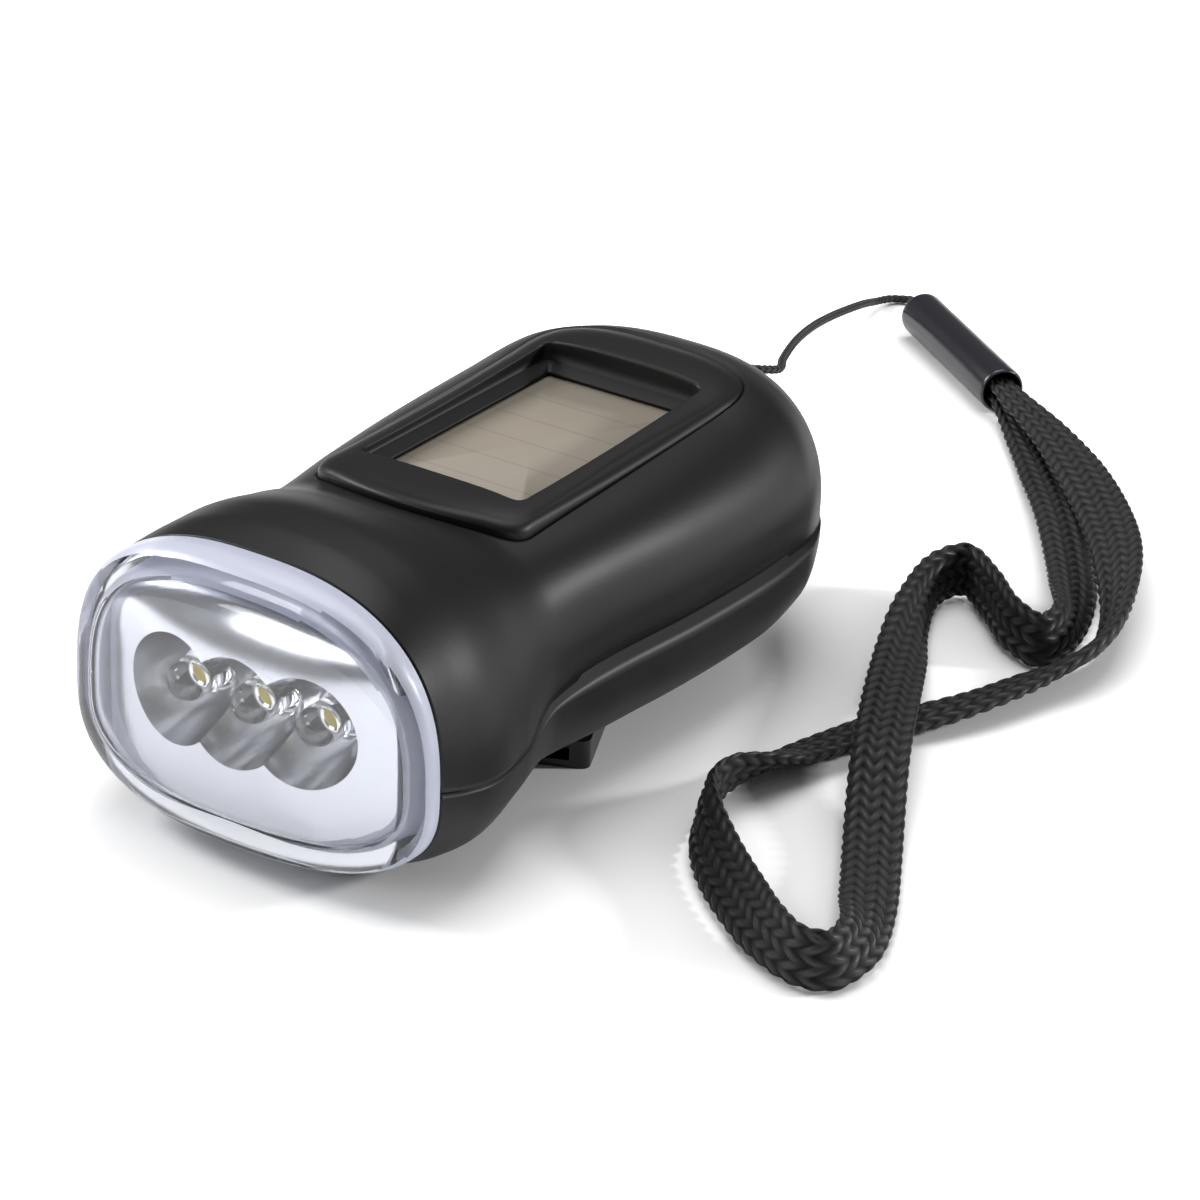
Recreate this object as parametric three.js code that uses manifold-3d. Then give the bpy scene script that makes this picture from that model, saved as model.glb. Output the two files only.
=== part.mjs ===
// Hand crank flashlight: a moulded two-shell body with a solar cell on top, a three-lamp head, and a
// step-up gear train that turns a small generator from a crank under the body.
// Units are millimetres. X is across the body, Y runs from the lens to the tail, Z is up.
import * as THREE from 'three';
import { mergeVertices } from 'three/addons/utils/BufferGeometryUtils.js';
import Module from 'manifold-3d';

const wasm = await Module();
wasm.setup();

// Body, measured from the rim that carries the lens to the tail
const bodyLength = 100;
const bodyHalfWidth = 26.6;
const bodyHeight = 40.2;
const wall = 1.8;
const seat = 0.3;
const running = 0.15;
const overrun = 2;
const shellGap = 0.3;
const flatness = 0.04;
const waistDepth = 1.2;
const waistReach = 4;
const ledgeDrop = 0.35;

// Places along the body, as shares of its length, with half width, top, underside and seam heights
const alongShares = [0, 0.05, 0.09, 0.18, 0.28, 0.4, 0.55, 0.7, 0.79, 0.85, 0.9, 0.95, 0.985, 1];
const widthShares = [
  0.969, 0.987, 1, 0.94, 0.861, 0.895, 0.951,
  0.977, 0.957, 0.88, 0.748, 0.538, 0.271, 0.06,
];
const topShares = [
  0.963, 0.995, 0.998, 0.945, 0.863, 0.868, 0.886,
  0.915, 0.94, 0.915, 0.866, 0.766, 0.652, 0.537,
];
const underShares = [
  0.063, 0.009, 0, 0.04, 0.097, 0.105, 0.105,
  0.105, 0.115, 0.135, 0.164, 0.224, 0.323, 0.423,
];
const seamShares = [
  0.41, 0.375, 0.36, 0.345, 0.395, 0.418, 0.42,
  0.425, 0.43, 0.435, 0.438, 0.443, 0.447, 0.45,
];
const topPowerShares = [2.57, 2.35, 2.3, 2.6, 3.4, 3.6, 3.3, 2.9, 2.77, 2.7, 2.6, 2.2, 2, 2];
const underPowerShares = [2.75, 2.6, 2.6, 2.6, 3.4, 4.2, 4.2, 4, 3.4, 2.8, 2.6, 2.3, 2, 2];
const waistShares = [0, 0, 0, 0.1, 0.55, 0.95, 1, 0.95, 0.6, 0.25, 0.05, 0, 0, 0];
const padLiftShares = [1, 1, 1, 1, 1, 0.8, 0.6, 0.38, 0.14, 0, 0, 0, 0, 0];

// Lens and reflector
const lensReach = 6.8;
const lensSideReach = 2.9;
const lensWall = 1.2;
const lensSkirtWall = 0.8;
const lensSkirtDepth = 2.6;
const reflectorWidthShare = 0.7744;
const reflectorHeightShare = 0.7363;
const reflectorLiftShare = 0.107;
const lampHeightShare = 0.505;
const reflectorHalfWidth = bodyHalfWidth * reflectorWidthShare;
const reflectorHeight = bodyHeight * reflectorHeightShare;
const reflectorLift = bodyHeight * reflectorLiftShare;
const reflectorBack = 5;
const reflectorFlange = 1.2;
const reflectorBulge = 4;
const reflectorSetback = 0.9;
const openingWidthShare = 0.94;
const openingHeightShare = 0.92;
const openingLift = 1.5;
const lampPitchShare = 0.4466;
const cupRadiusShare = 0.2297;
const lampPitch = reflectorHalfWidth * lampPitchShare;
const lampHeight = bodyHeight * lampHeightShare;
const cupRadius = reflectorHeight * cupRadiusShare;
const cupDepth = 10;
const cupLead = 1;
const dishDepth = 3.2;
const dishWidthShare = 0.78;
const dishHeightShare = 0.2;
const dishLiftShare = 0.86;

// Stop in the ceiling that holds the reflector's flange
const stopAcross = 3;
const stopReach = 2.4;

// Lamps and their board, which stands in slotted ribs
const lampRadius = 2.5;
const lampLength = 8.7;
const lampFlangeRadius = 2.9;
const lampFlange = 1;
const lampLeg = 0.5;
const lampLegPitch = 2.54;
const boardThickness = 1.2;
const lampBoardWidth = 32;
const lampBoardHeight = 14;
const lampBoardGap = 2.2;
const boardRibInner = 14;
const boardRibTop = 14;
const ribWall = 1.4;

// Solar cell and its frame
const padFrontShare = 0.28;
const padFront = bodyLength * padFrontShare;
const padRearShare = 0.835;
const padRear = bodyLength * padRearShare;
const padFrontWidthShare = 0.5714;
const padRearWidthShare = 0.5827;
const windowWidthShare = 0.4436;
const padFrontHalfWidth = bodyHalfWidth * padFrontWidthShare;
const padRearHalfWidth = bodyHalfWidth * padRearWidthShare;
const padFrontCorner = 4;
const padRearCorner = 9;
const padBow = 2.2;
const padDepth = 3;
const padFloor = bodyHeight * topShares[4] - padDepth;
const padLift = 1.8;
const trayWall = 1.5;
const trayUnder = padFloor - trayWall;
const windowFrontShare = 0.344;
const windowFront = bodyLength * windowFrontShare;
const windowRearShare = 0.74;
const windowRear = bodyLength * windowRearShare;
const windowHalfWidth = bodyHalfWidth * windowWidthShare;
const windowCorner = 1.6;
const windowBevel = 1.6;
const windowBevelDepth = 1.2;
const cellThickness = 1.2;
const cellMargin = 1;

// Gear train: one module, as large as both the width and the length leave room for, and three steps up
const moduleWidthShare = 0.0282;
const moduleLengthShare = 0.0075012;
const gearModule = Math.min(bodyHalfWidth * moduleWidthShare, bodyLength * moduleLengthShare);
const pressureAngle = THREE.MathUtils.degToRad(25);
const backlash = 0.14;
const addendumShare = 0.92;
const dedendumShare = 1.25;
const driveTeeth = 36;
const firstTeeth = 32;
const secondTeeth = 26;
const pinionTeeth = 10;
const crankAlongShare = 0.62;
const crankAlong = bodyLength * crankAlongShare;
const firstStageAngle = THREE.MathUtils.degToRad(-117.9);
const secondStageAngle = THREE.MathUtils.degToRad(-13);
const thirdStageAngle = THREE.MathUtils.degToRad(84.3);

// Heights of the gear box: the gears and the generator share the room between floor and solar pocket
const floorTop = underShares[7] * bodyHeight + wall;
const innerHeight = trayUnder - floorTop;
const driveWidthShare = 0.116;
const firstWidthShare = 0.066;
const secondWidthShare = 0.062;
const driveWidth = innerHeight * driveWidthShare;
const firstWidth = innerHeight * firstWidthShare;
const secondWidth = innerHeight * secondWidthShare;
const plateThickness = 1.4;
const plateFoot = 1.58;
const plateLift = floorTop + plateFoot;
const levelGap = 0.3;
const driveClear = 0.8;
const coverClear = 0.6;
const axleRadius = 1;
const rotorShaftRadius = 0.8;

// Plates of the gear box and their posts, from the crank's axis, as shares of the drive gear's radius
const driveReach = (gearModule * driveTeeth) / 2;
const plateFrontShare = -2.489;
const plateShoulderShare = -1.7056;
const plateRearShare = 1.0944;
const plateHalfWidthShare = 1.3333;
const plateNoseShare = 0.4444;
const plateCorner = 4;
const postShares = [[-0.1111, -2.25], [-0.9056, 0.9167], [0.9056, 0.9167]];
const postRadius = 2.2;
const plateScrewRadius = 0.9;
const plateScrewHeadRadius = 1.6;
const plateScrewHead = 1;
const plateScrewBite = 2.1;
const screwSlotHalf = 0.4;

// Generator, its radii as shares of the drive gear's radius
const statorShare = 0.7039;
const magnetShare = 0.4294;
const coilInnerShare = 0.4817;
const coilOuterShare = 0.615;
const statorWall = 0.8;
const statorRoom = 1.8;
const magnetLift = 2.4;
const magnetRoom = 1.5;
const coilSeatHeight = 1.2;
const coilSeatWall = 1;
const coilRoom = 1.4;

// Crank
const shaftRadius = 2.6;
const shaftNeckRadius = 1.8;
const shaftFlatWidth = 4;
const bushWall = 1;
const bushFlange = 1.6;
const armLength = 27.6;
const armHalfWidth = 8.6;
const armClear = 0.5;
const armHeight = bodyHeight * underShares[7] - armClear;
const armWall = 1.3;
const armCorner = 1.4;
const armTurn = THREE.MathUtils.degToRad(-66);
const gripHalfWidth = 5.8;
const gripThickness = armHeight - 2 * seat;
const gripLift = 0.2;
const gripStart = 7.8;
const gripCorner = 1.2;
const gripHeelCorner = 0.12;
const gripWaistShare = 0.62;
const gripPinAt = 24.2;
const gripPinRadius = 0.6;
const lipHeight = 1;
const crankScrewRadius = 1.1;
const crankScrewHeadRadius = 2.5;
const crankScrewHead = 0.8;
const crankScrewLength = 5.6;
const hubWeb = 0.6;

// Case screws, two at the neck and two at the tail
const bossRadius = 3;
const screwRadius = 1.2;
const screwHeadRadius = 2.4;
const screwHead = 1.6;
const screwLength = 14;
const frontScrewAlongShare = 0.295;
const frontScrewAlong = bodyLength * frontScrewAlongShare;
const frontScrewAcross = 14.2;
const rearScrewAlongShare = 0.83;
const rearScrewAlong = bodyLength * rearScrewAlongShare;
const rearScrewAcross = 12.2;
const screwRecess = 3;

// Circuit board, switch and button on the left side
const switchAlongShare = 0.52;
const switchAlong = bodyLength * switchAlongShare;
const mainBoardLength = 27;
const mainBoardWidthShare = 1.1483;
const mainBoardOffsetShare = 0.7628;
const mainBoardWidth = driveReach * mainBoardWidthShare;
const mainBoardOffset = driveReach * mainBoardOffsetShare;
const boardPinRadius = 0.8;
const boardPostRadius = 1.8;
const switchBody = 6;
const switchHeight = 3.4;
const switchRise = 1.5;
const plungerRadius = 1.4;
const plungerReach = 0.9;
const buttonLength = 11.4;
const buttonHeight = 6.2;
const buttonProud = 1.2;
const buttonTravel = 1;
const buttonFlange = 1;
const buttonFlangeRim = 0.9;

// Rechargeable cells in the tail, on saddles
const cellRadius = 7.8;
const cellRimShare = 0.93;
const buttonCellWidth = 5.4;
const cellAlongShare = 0.846;
const cellAlong = bodyLength * cellAlongShare;
const cellLift = trayUnder - 2 * seat - cellRadius;
const saddleAcross = 5.8;
const saddleDrop = 5.8;

// Wrist cord, its crimped sleeve and the flat braided loop
const cordRadius = 0.6;
const cordHoleAlongShare = 0.976;
const cordHoleAlong = bodyLength * cordHoleAlongShare;
const cordHoleLiftShare = 0.647;
const cordHoleLift = bodyHeight * cordHoleLiftShare;
const cordHoleTilt = THREE.MathUtils.degToRad(38);
const cordHoleReach = 6;
const knotBehind = 4.06;
const cordInside = 1.42;
const cordOutside = 1.2;
const sleeveRadius = 3.3;
const sleeveLength = 30;
const sleeveLift = 3.4;
const sleeveEdge = 0.5;
const sleeveBore = 2.8;
const sleeveBoreDepth = 4;
const knotRadius = 1.5;
const strapWidth = 7.4;
const strapThickness = 2;

const rimY = -(bodyLength + lensReach) / 2 + lensReach;
const at = (along) => rimY + along;

// Reads a table at one place along the body, with a smooth curve through its values
function follow(table, along) {
  const place = THREE.MathUtils.clamp(along / bodyLength, 0, 1);
  const count = alongShares.length;
  let i = 0;
  while (i < count - 2 && place > alongShares[i + 1]) i += 1;
  const slopeAt = (k) => {
    if (k === 0) return (table[1] - table[0]) / (alongShares[1] - alongShares[0]);
    if (k === count - 1) return (table[k] - table[k - 1]) / (alongShares[k] - alongShares[k - 1]);
    const before = (table[k] - table[k - 1]) / (alongShares[k] - alongShares[k - 1]);
    const after = (table[k + 1] - table[k]) / (alongShares[k + 1] - alongShares[k]);
    return before * after <= 0 ? 0 : (2 * before * after) / (before + after);
  };
  const span = alongShares[i + 1] - alongShares[i];
  const t = (place - alongShares[i]) / span;
  const ease = t * t * (3 - 2 * t);
  const start = table[i] * (1 - ease) + table[i + 1] * ease;
  return start + span * (t * (1 - t) ** 2 * slopeAt(i) - t * t * (1 - t) * slopeAt(i + 1));
}

// The closed outline of the body at one place along it, drawn in by an inset
function bodySize(along, inset = 0) {
  return {
    half: follow(widthShares, along) * bodyHalfWidth - inset,
    top: follow(topShares, along) * bodyHeight - inset,
    under: follow(underShares, along) * bodyHeight + inset,
    seam: follow(seamShares, along) * bodyHeight,
    topPower: follow(topPowerShares, along),
    underPower: follow(underPowerShares, along),
    waist: follow(waistShares, along) * waistDepth,
  };
}

const power = (value, exponent) => Math.sign(value) * Math.abs(value) ** exponent;

// A ring of points round the body: the underside first, then the ledge at the seam, then the top
function bodyRing(along, inset, sides) {
  const size = bodySize(along, inset);
  const points = [];
  const quarter = sides / 4;
  const y = at(along);
  const lower = (turn) => {
    const x = size.half * power(Math.cos(turn), 2 / size.underPower);
    const rim = size.seam - ledgeDrop;
    const fall = (rim - size.under) * power(Math.sin(-turn), 2 / size.underPower);
    return new THREE.Vector3(x, y, rim - fall);
  };
  const upper = (turn) => {
    const z = size.seam + (size.top - size.seam) * power(Math.sin(turn), 2 / size.topPower);
    const full = size.half * power(Math.cos(turn), 2 / size.topPower);
    const tuck = size.waist * Math.exp(-(((z - size.seam) / waistReach) ** 2));
    return new THREE.Vector3(full - Math.sign(full) * Math.min(tuck, Math.abs(full) / 2), y, z);
  };
  for (let i = 0; i <= 2 * quarter; i += 1) points.push(lower(-Math.PI + (Math.PI * i) / (2 * quarter)));
  for (let i = 0; i <= 2 * quarter; i += 1) points.push(upper((Math.PI * i) / (2 * quarter)));
  return points;
}

// Height of the body's top at a place across and along it
function bodyTop(x, along) {
  const size = bodySize(along);
  const reach = Math.min(Math.abs(x) / size.half, 1);
  return size.seam + (size.top - size.seam) * (1 - reach ** size.topPower) ** (1 / size.topPower);
}

// Joins rings of equal count into one closed skin, each end closed by a fan to its middle
function loft(rings) {
  const sides = rings[0].length;
  const positions = [];
  const faces = [];
  rings.forEach((ring) => ring.forEach((p) => positions.push(p.x, p.y, p.z)));
  for (let r = 0; r < rings.length - 1; r += 1) {
    for (let i = 0; i < sides; i += 1) {
      const a = r * sides + i;
      const b = r * sides + ((i + 1) % sides);
      faces.push(a, b, a + sides, b, b + sides, a + sides);
    }
  }
  [0, rings.length - 1].forEach((r) => {
    const middle = rings[r].reduce((sum, p) => sum.add(p), new THREE.Vector3()).divideScalar(sides);
    const hub = positions.length / 3;
    positions.push(middle.x, middle.y, middle.z);
    for (let i = 0; i < sides; i += 1) {
      const a = r * sides + i;
      const b = r * sides + ((i + 1) % sides);
      if (r === 0) faces.push(hub, b, a);
      else faces.push(hub, a, b);
    }
  });
  const geometry = new THREE.BufferGeometry();
  geometry.setAttribute('position', new THREE.Float32BufferAttribute(positions, 3));
  geometry.setIndex(faces);
  return geometry;
}

// Volume inside a closed skin, negative when its faces point inwards
function signedVolume(points, faces) {
  let sum = 0;
  const corner = [new THREE.Vector3(), new THREE.Vector3(), new THREE.Vector3()];
  for (let i = 0; i < faces.length; i += 3) {
    corner.forEach((v, k) => v.fromArray(points, faces[i + k] * 3));
    sum += corner[0].dot(corner[1].clone().cross(corner[2]));
  }
  return sum / 6;
}

// A solid for joining and cutting, from a closed geometry
function solid(geometry) {
  const bare = geometry.clone();
  bare.deleteAttribute('normal');
  bare.deleteAttribute('uv');
  const merged = mergeVertices(bare);
  const points = merged.attributes.position.array;
  const faces = Array.from(merged.index.array);
  if (signedVolume(points, faces) < 0) {
    for (let i = 0; i < faces.length; i += 3) [faces[i], faces[i + 1]] = [faces[i + 1], faces[i]];
  }
  const mesh = new wasm.Mesh({
    numProp: 3,
    vertProperties: new Float32Array(points),
    triVerts: new Uint32Array(faces),
  });
  return new wasm.Manifold(mesh);
}

function skin(shape) {
  const mesh = shape.simplify(flatness).getMesh();
  const geometry = new THREE.BufferGeometry();
  geometry.setAttribute('position', new THREE.Float32BufferAttribute(mesh.vertProperties, 3));
  geometry.setIndex(Array.from(mesh.triVerts));
  geometry.computeVertexNormals();
  return geometry;
}

// A profile of radius and height turned about Z
function turned(profile, sides = 20) {
  const points = profile.map(([r, z]) => new THREE.Vector2(r, z));
  const [first, last] = [points[0], points[points.length - 1]];
  if (first.x > 0 || last.x > 0) points.push(first.clone());
  return solid(new THREE.LatheGeometry(points, sides).rotateX(Math.PI / 2));
}

function rod(radius, low, high, sides = 20) {
  return turned([[0, low], [radius, low], [radius, high], [0, high]], sides);
}

function ring(inner, outer, low, high, sides = 24) {
  return turned([[inner, low], [outer, low], [outer, high], [inner, high]], sides);
}

function block(x0, x1, y0, y1, z0, z1) {
  const geometry = new THREE.BoxGeometry(x1 - x0, y1 - y0, z1 - z0);
  return solid(geometry.translate((x0 + x1) / 2, (y0 + y1) / 2, (z0 + z1) / 2));
}

// A flat outline raised from one height to another
function slab(shape, low, high, curveSegments = 8) {
  const options = { depth: high - low, bevelEnabled: false, curveSegments };
  return solid(new THREE.ExtrudeGeometry(shape, options).translate(0, 0, low));
}

function roundedOutline(corners, radius) {
  const shape = new THREE.Shape();
  corners.forEach((corner, i) => {
    const before = corners[(i + corners.length - 1) % corners.length];
    const after = corners[(i + 1) % corners.length];
    const here = new THREE.Vector2(...corner);
    const bend = Array.isArray(radius) ? radius[i] : radius;
    const from = here.clone().add(new THREE.Vector2(...before).sub(here).setLength(bend));
    const to = here.clone().add(new THREE.Vector2(...after).sub(here).setLength(bend));
    if (i === 0) shape.moveTo(from.x, from.y);
    else shape.lineTo(from.x, from.y);
    shape.quadraticCurveTo(here.x, here.y, to.x, to.y);
  });
  shape.closePath();
  return shape;
}

const finishes = {
  blackShell: { color: 0x1b1b1c, roughness: 0.5, metalness: 0 },
  blackTrim: { color: 0x151516, roughness: 0.35, metalness: 0 },
  clear: { color: 0xe6ecf4, roughness: 0.05, metalness: 0, transparent: true, opacity: 0.35 },
  chrome: { color: 0xd8d9dc, roughness: 0.08, metalness: 1 },
  solar: { color: 0x968c7a, roughness: 0.25, metalness: 0 },
  board: { color: 0x1f5a34, roughness: 0.5, metalness: 0 },
  nylon: { color: 0xe9e5da, roughness: 0.45, metalness: 0 },
  steel: { color: 0xb9bbbe, roughness: 0.3, metalness: 1 },
  magnet: { color: 0x3b3b3e, roughness: 0.6, metalness: 0.4 },
  copper: { color: 0xb4622d, roughness: 0.35, metalness: 1 },
  webbing: { color: 0x161617, roughness: 0.9, metalness: 0 },
};

const group = new THREE.Group();

function place(name, shape, finish) {
  const mesh = new THREE.Mesh(skin(shape), new THREE.MeshStandardMaterial(finishes[finish]));
  mesh.name = name;
  group.add(mesh);
  return mesh;
}

// Body solid, its hollow, and a core that keeps the inner ribs out of the outer surface
const outerSides = 32;
const innerSides = 20;
const outerStationShares = [0, 0.03, 0.08, 0.13, 0.18, 0.225, 0.27, 0.34, 0.45, 0.58, 0.7,
  0.78, 0.84, 0.885, 0.925, 0.955, 0.98, 0.993, 1];
const innerStationShares = [-0.02, 0.08, 0.16, 0.22, 0.28, 0.4, 0.58, 0.74, 0.84, 0.9, 0.945, 0.968];
const bodySolid = solid(loft(outerStationShares.map((s) => bodyRing(s * bodyLength, 0, outerSides))));
const innerRing = (s) => bodyRing(s * bodyLength, wall, innerSides).map((p) => p.setY(at(s * bodyLength)));
const bodyHollow = solid(loft(innerStationShares.map(innerRing)));
const coreRing = (s) => bodyRing(Math.max(s, 0) * bodyLength, wall / 2, innerSides);
const bodyCore = solid(loft(innerStationShares.map(coreRing)));

// A sheet that follows the seam, reaching up or down past the body
function seamSide(above) {
  const shape = new THREE.Shape();
  const shift = above ? 0 : -shellGap;
  const far = above ? bodyHeight + overrun : -overrun;
  outerStationShares.forEach((share, i) => {
    const along = bodyLength * share;
    const z = bodySize(along).seam + shift;
    if (i === 0) shape.moveTo(at(-overrun), z);
    shape.lineTo(at(along), z);
  });
  const end = bodySize(bodyLength).seam + shift;
  shape.lineTo(at(bodyLength + overrun), end);
  shape.lineTo(at(bodyLength + overrun), far);
  shape.lineTo(at(-overrun), far);
  shape.closePath();
  const span = 2 * (bodyHalfWidth + overrun);
  const geometry = new THREE.ExtrudeGeometry(shape, { depth: span, bevelEnabled: false });
  geometry.applyMatrix4(new THREE.Matrix4().set(0, 0, 1, -span / 2, 1, 0, 0, 0, 0, 1, 0, 0, 0, 0, 0, 1));
  return solid(geometry);
}

const shellSolid = bodySolid.subtract(bodyHollow);

// Solar frame outline, grown or drawn in by a margin
function padOutline(margin) {
  const front = at(padFront) - margin;
  const rear = at(padRear) + margin;
  const shape = new THREE.Shape();
  const frontHalf = padFrontHalfWidth + margin;
  const rearHalf = padRearHalfWidth + margin;
  const frontCorner = padFrontCorner + margin;
  const rearCorner = padRearCorner + margin;
  shape.moveTo(-frontHalf + frontCorner, front);
  shape.quadraticCurveTo(0, front - 2 * padBow, frontHalf - frontCorner, front);
  shape.quadraticCurveTo(frontHalf, front + padBow / 2, frontHalf, front + frontCorner);
  shape.lineTo(rearHalf, rear - rearCorner);
  shape.quadraticCurveTo(rearHalf, rear, rearHalf - rearCorner, rear);
  shape.lineTo(-rearHalf + rearCorner, rear);
  shape.quadraticCurveTo(-rearHalf, rear, -rearHalf, rear - rearCorner);
  shape.lineTo(-frontHalf, front + frontCorner);
  shape.quadraticCurveTo(-frontHalf, front + padBow / 2, -frontHalf + frontCorner, front);
  return shape;
}

const padTop = (x, along) => bodyTop(x, along) + padLift * follow(padLiftShares, along);

// Window through the frame, with a bevel down to a straight wall
function windowCut(grow, low, high) {
  const corner = windowCorner + grow;
  const x = windowHalfWidth + grow;
  const y0 = at(windowFront) - grow;
  const y1 = at(windowRear) + grow;
  return slab(roundedOutline([[-x, y0], [x, y0], [x, y1], [-x, y1]], corner), low, high, 4);
}

// Main parts of the gear train, placed by their stage angles
const reachOf = (teeth) => (gearModule * teeth) / 2;
const crankCentre = new THREE.Vector2(0, at(crankAlong));
const step = (from, teeth, angle) => {
  const reach = reachOf(teeth) + reachOf(pinionTeeth);
  return from.clone().add(new THREE.Vector2(Math.cos(angle), Math.sin(angle)).multiplyScalar(reach));
};
const firstCentre = step(crankCentre, driveTeeth, firstStageAngle);
const secondCentre = step(firstCentre, firstTeeth, secondStageAngle);
const rotorCentre = step(secondCentre, secondTeeth, thirdStageAngle);

const plateTop = plateLift + plateThickness;
const driveLow = plateTop + driveClear;
const driveHigh = driveLow + driveWidth;
const firstLow = driveHigh + levelGap;
const firstHigh = firstLow + firstWidth;
const secondLow = firstHigh + 2 * levelGap;
const secondHigh = secondLow + secondWidth;
const pinionOverlap = levelGap / 2;
const coverLow = secondHigh + coverClear + levelGap;
const coverHigh = coverLow + plateThickness;

const moved = (shape, centre, z = 0) => shape.translate([centre.x, centre.y, z]);

// Involute gear outline about the origin, with one tooth centred on the phase angle
function gearOutline(teeth, phase) {
  const pitch = reachOf(teeth);
  const base = pitch * Math.cos(pressureAngle);
  const tip = pitch + addendumShare * gearModule;
  const root = pitch - dedendumShare * gearModule;
  const involute = (radius) => {
    const lean = Math.acos(Math.min(1, base / radius));
    return Math.tan(lean) - lean;
  };
  const halfTooth = Math.PI / (2 * teeth) - backlash / (4 * pitch);
  const halfAt = (radius) => halfTooth + involute(pitch) - involute(Math.max(radius, base));
  const radii = [root, (Math.max(base, root) + pitch) / 2, tip];
  const points = [];
  for (let k = 0; k < teeth; k += 1) {
    const middle = phase + (2 * Math.PI * k) / teeth;
    const flank = (radius, side) => {
      const angle = middle + side * halfAt(radius);
      points.push(new THREE.Vector2(radius * Math.cos(angle), radius * Math.sin(angle)));
    };
    radii.forEach((radius) => flank(radius, -1));
    radii.slice().reverse().forEach((radius) => flank(radius, 1));
  }
  return new THREE.Shape(points);
}

const gear = (teeth, phase, low, high) => slab(gearOutline(teeth, phase), low, high, 1);

// Plates of the gear box share one outline
const posts = postShares.map(([across, along]) => new THREE.Vector2(across, along)
  .multiplyScalar(driveReach)
  .add(crankCentre));
const plateHalfWidth = driveReach * plateHalfWidthShare;
const plateNose = driveReach * plateNoseShare;
const plateFront = crankCentre.y + driveReach * plateFrontShare;
const plateShoulder = crankCentre.y + driveReach * plateShoulderShare;
const plateRear = crankCentre.y + driveReach * plateRearShare;
const plateCorners = [
  [-plateNose - plateScrewHeadRadius, plateFront],
  [plateNose, plateFront],
  [plateHalfWidth, plateShoulder],
  [plateHalfWidth - plateCorner / 2, plateRear],
  [-plateHalfWidth + plateCorner / 2, plateRear],
  [-plateHalfWidth, plateShoulder],
];
const gearPlate = (low) => slab(roundedOutline(plateCorners, plateCorner), low, low + plateThickness, 4);

// Everything that turns with the crank is placed in its own group
const crank = new THREE.Group();
crank.position.set(crankCentre.x, crankCentre.y, 0);
crank.rotation.z = armTurn;
group.add(crank);

function placeOnCrank(name, shape, finish) {
  const mesh = place(name, shape, finish);
  crank.add(mesh);
  return mesh;
}

// Crank shaft with two flats at each gear and arm seat
const shaftLow = crankScrewHead + 3 * seat + hubWeb;
const shaftStep = driveHigh + levelGap;
const shaftTop = coverHigh - levelGap / 2;
const shaftRod = (grow, low, high) => {
  const flats = shaftFlatWidth / 2 + grow;
  const limit = shaftRadius + grow + overrun;
  return rod(shaftRadius + grow, low, high).intersect(block(-limit, limit, -flats, flats, low, high));
};
const shaft = shaftRod(0, shaftLow, armHeight + seat)
  .add(rod(shaftRadius, armHeight + seat, plateTop + driveClear / 2))
  .add(shaftRod(0, plateTop + driveClear / 2, shaftStep))
  .add(rod(shaftNeckRadius, shaftStep, shaftTop))
  .subtract(rod(crankScrewRadius + seat, shaftLow - overrun, shaftLow + crankScrewLength));
placeOnCrank('crank_shaft', shaft, 'steel');

const bushInner = shaftRadius + running;
const bushOuter = bushInner + bushWall;
const bushLow = underShares[7] * bodyHeight + seat / 2;
const bushTop = plateLift - seat;
const bush = ring(bushInner, bushOuter, bushLow, bushTop)
  .add(ring(bushInner, bushOuter + bushFlange, floorTop + seat, bushTop));
place('shaft_bush', bush, 'nylon').position.set(crankCentre.x, crankCentre.y, 0);

// Gears
const driveGear = gear(driveTeeth, firstStageAngle - armTurn, driveLow, driveHigh)
  .subtract(shaftRod(seat, driveLow - overrun, driveHigh + overrun));
placeOnCrank('drive_gear', driveGear, 'nylon');

const meshPhase = (angle) => angle + Math.PI + Math.PI / pinionTeeth;
const idlerBore = (low, high) => rod(axleRadius + running, low - overrun, high + overrun);
const firstIdler = gear(pinionTeeth, meshPhase(firstStageAngle), driveLow, firstLow + pinionOverlap)
  .add(gear(firstTeeth, secondStageAngle, firstLow, firstHigh))
  .subtract(idlerBore(driveLow, firstHigh));
place('first_idler_gear', firstIdler, 'nylon').position.set(firstCentre.x, firstCentre.y, 0);

const secondPhase = meshPhase(secondStageAngle);
const secondIdler = gear(pinionTeeth, secondPhase, firstLow - pinionOverlap, secondLow + pinionOverlap)
  .add(gear(secondTeeth, thirdStageAngle, secondLow, secondHigh))
  .subtract(idlerBore(firstLow, secondHigh));
place('second_idler_gear', secondIdler, 'nylon').position.set(secondCentre.x, secondCentre.y, 0);

const axle = rod(axleRadius, plateLift, coverHigh, 14);
place('first_idler_axle', axle, 'steel').position.set(firstCentre.x, firstCentre.y, 0);
place('second_idler_axle', axle, 'steel').position.set(secondCentre.x, secondCentre.y, 0);

const statorRadius = driveReach * statorShare;
const statorLow = coverHigh + seat;
const statorHigh = trayUnder - statorRoom;
const pinionHigh = secondHigh + levelGap;
const rotorShaft = gear(pinionTeeth, meshPhase(thirdStageAngle), secondLow - levelGap, pinionHigh)
  .add(rod(rotorShaftRadius, secondHigh, statorHigh + levelGap, 16));
place('rotor_shaft', rotorShaft, 'steel').position.set(rotorCentre.x, rotorCentre.y, 0);

const magnetLow = coverHigh + magnetLift;
const magnetHigh = statorHigh - magnetRoom;
const magnet = ring(rotorShaftRadius + seat, driveReach * magnetShare, magnetLow, magnetHigh);
place('rotor_magnet', magnet, 'magnet').position.set(rotorCentre.x, rotorCentre.y, 0);

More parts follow.
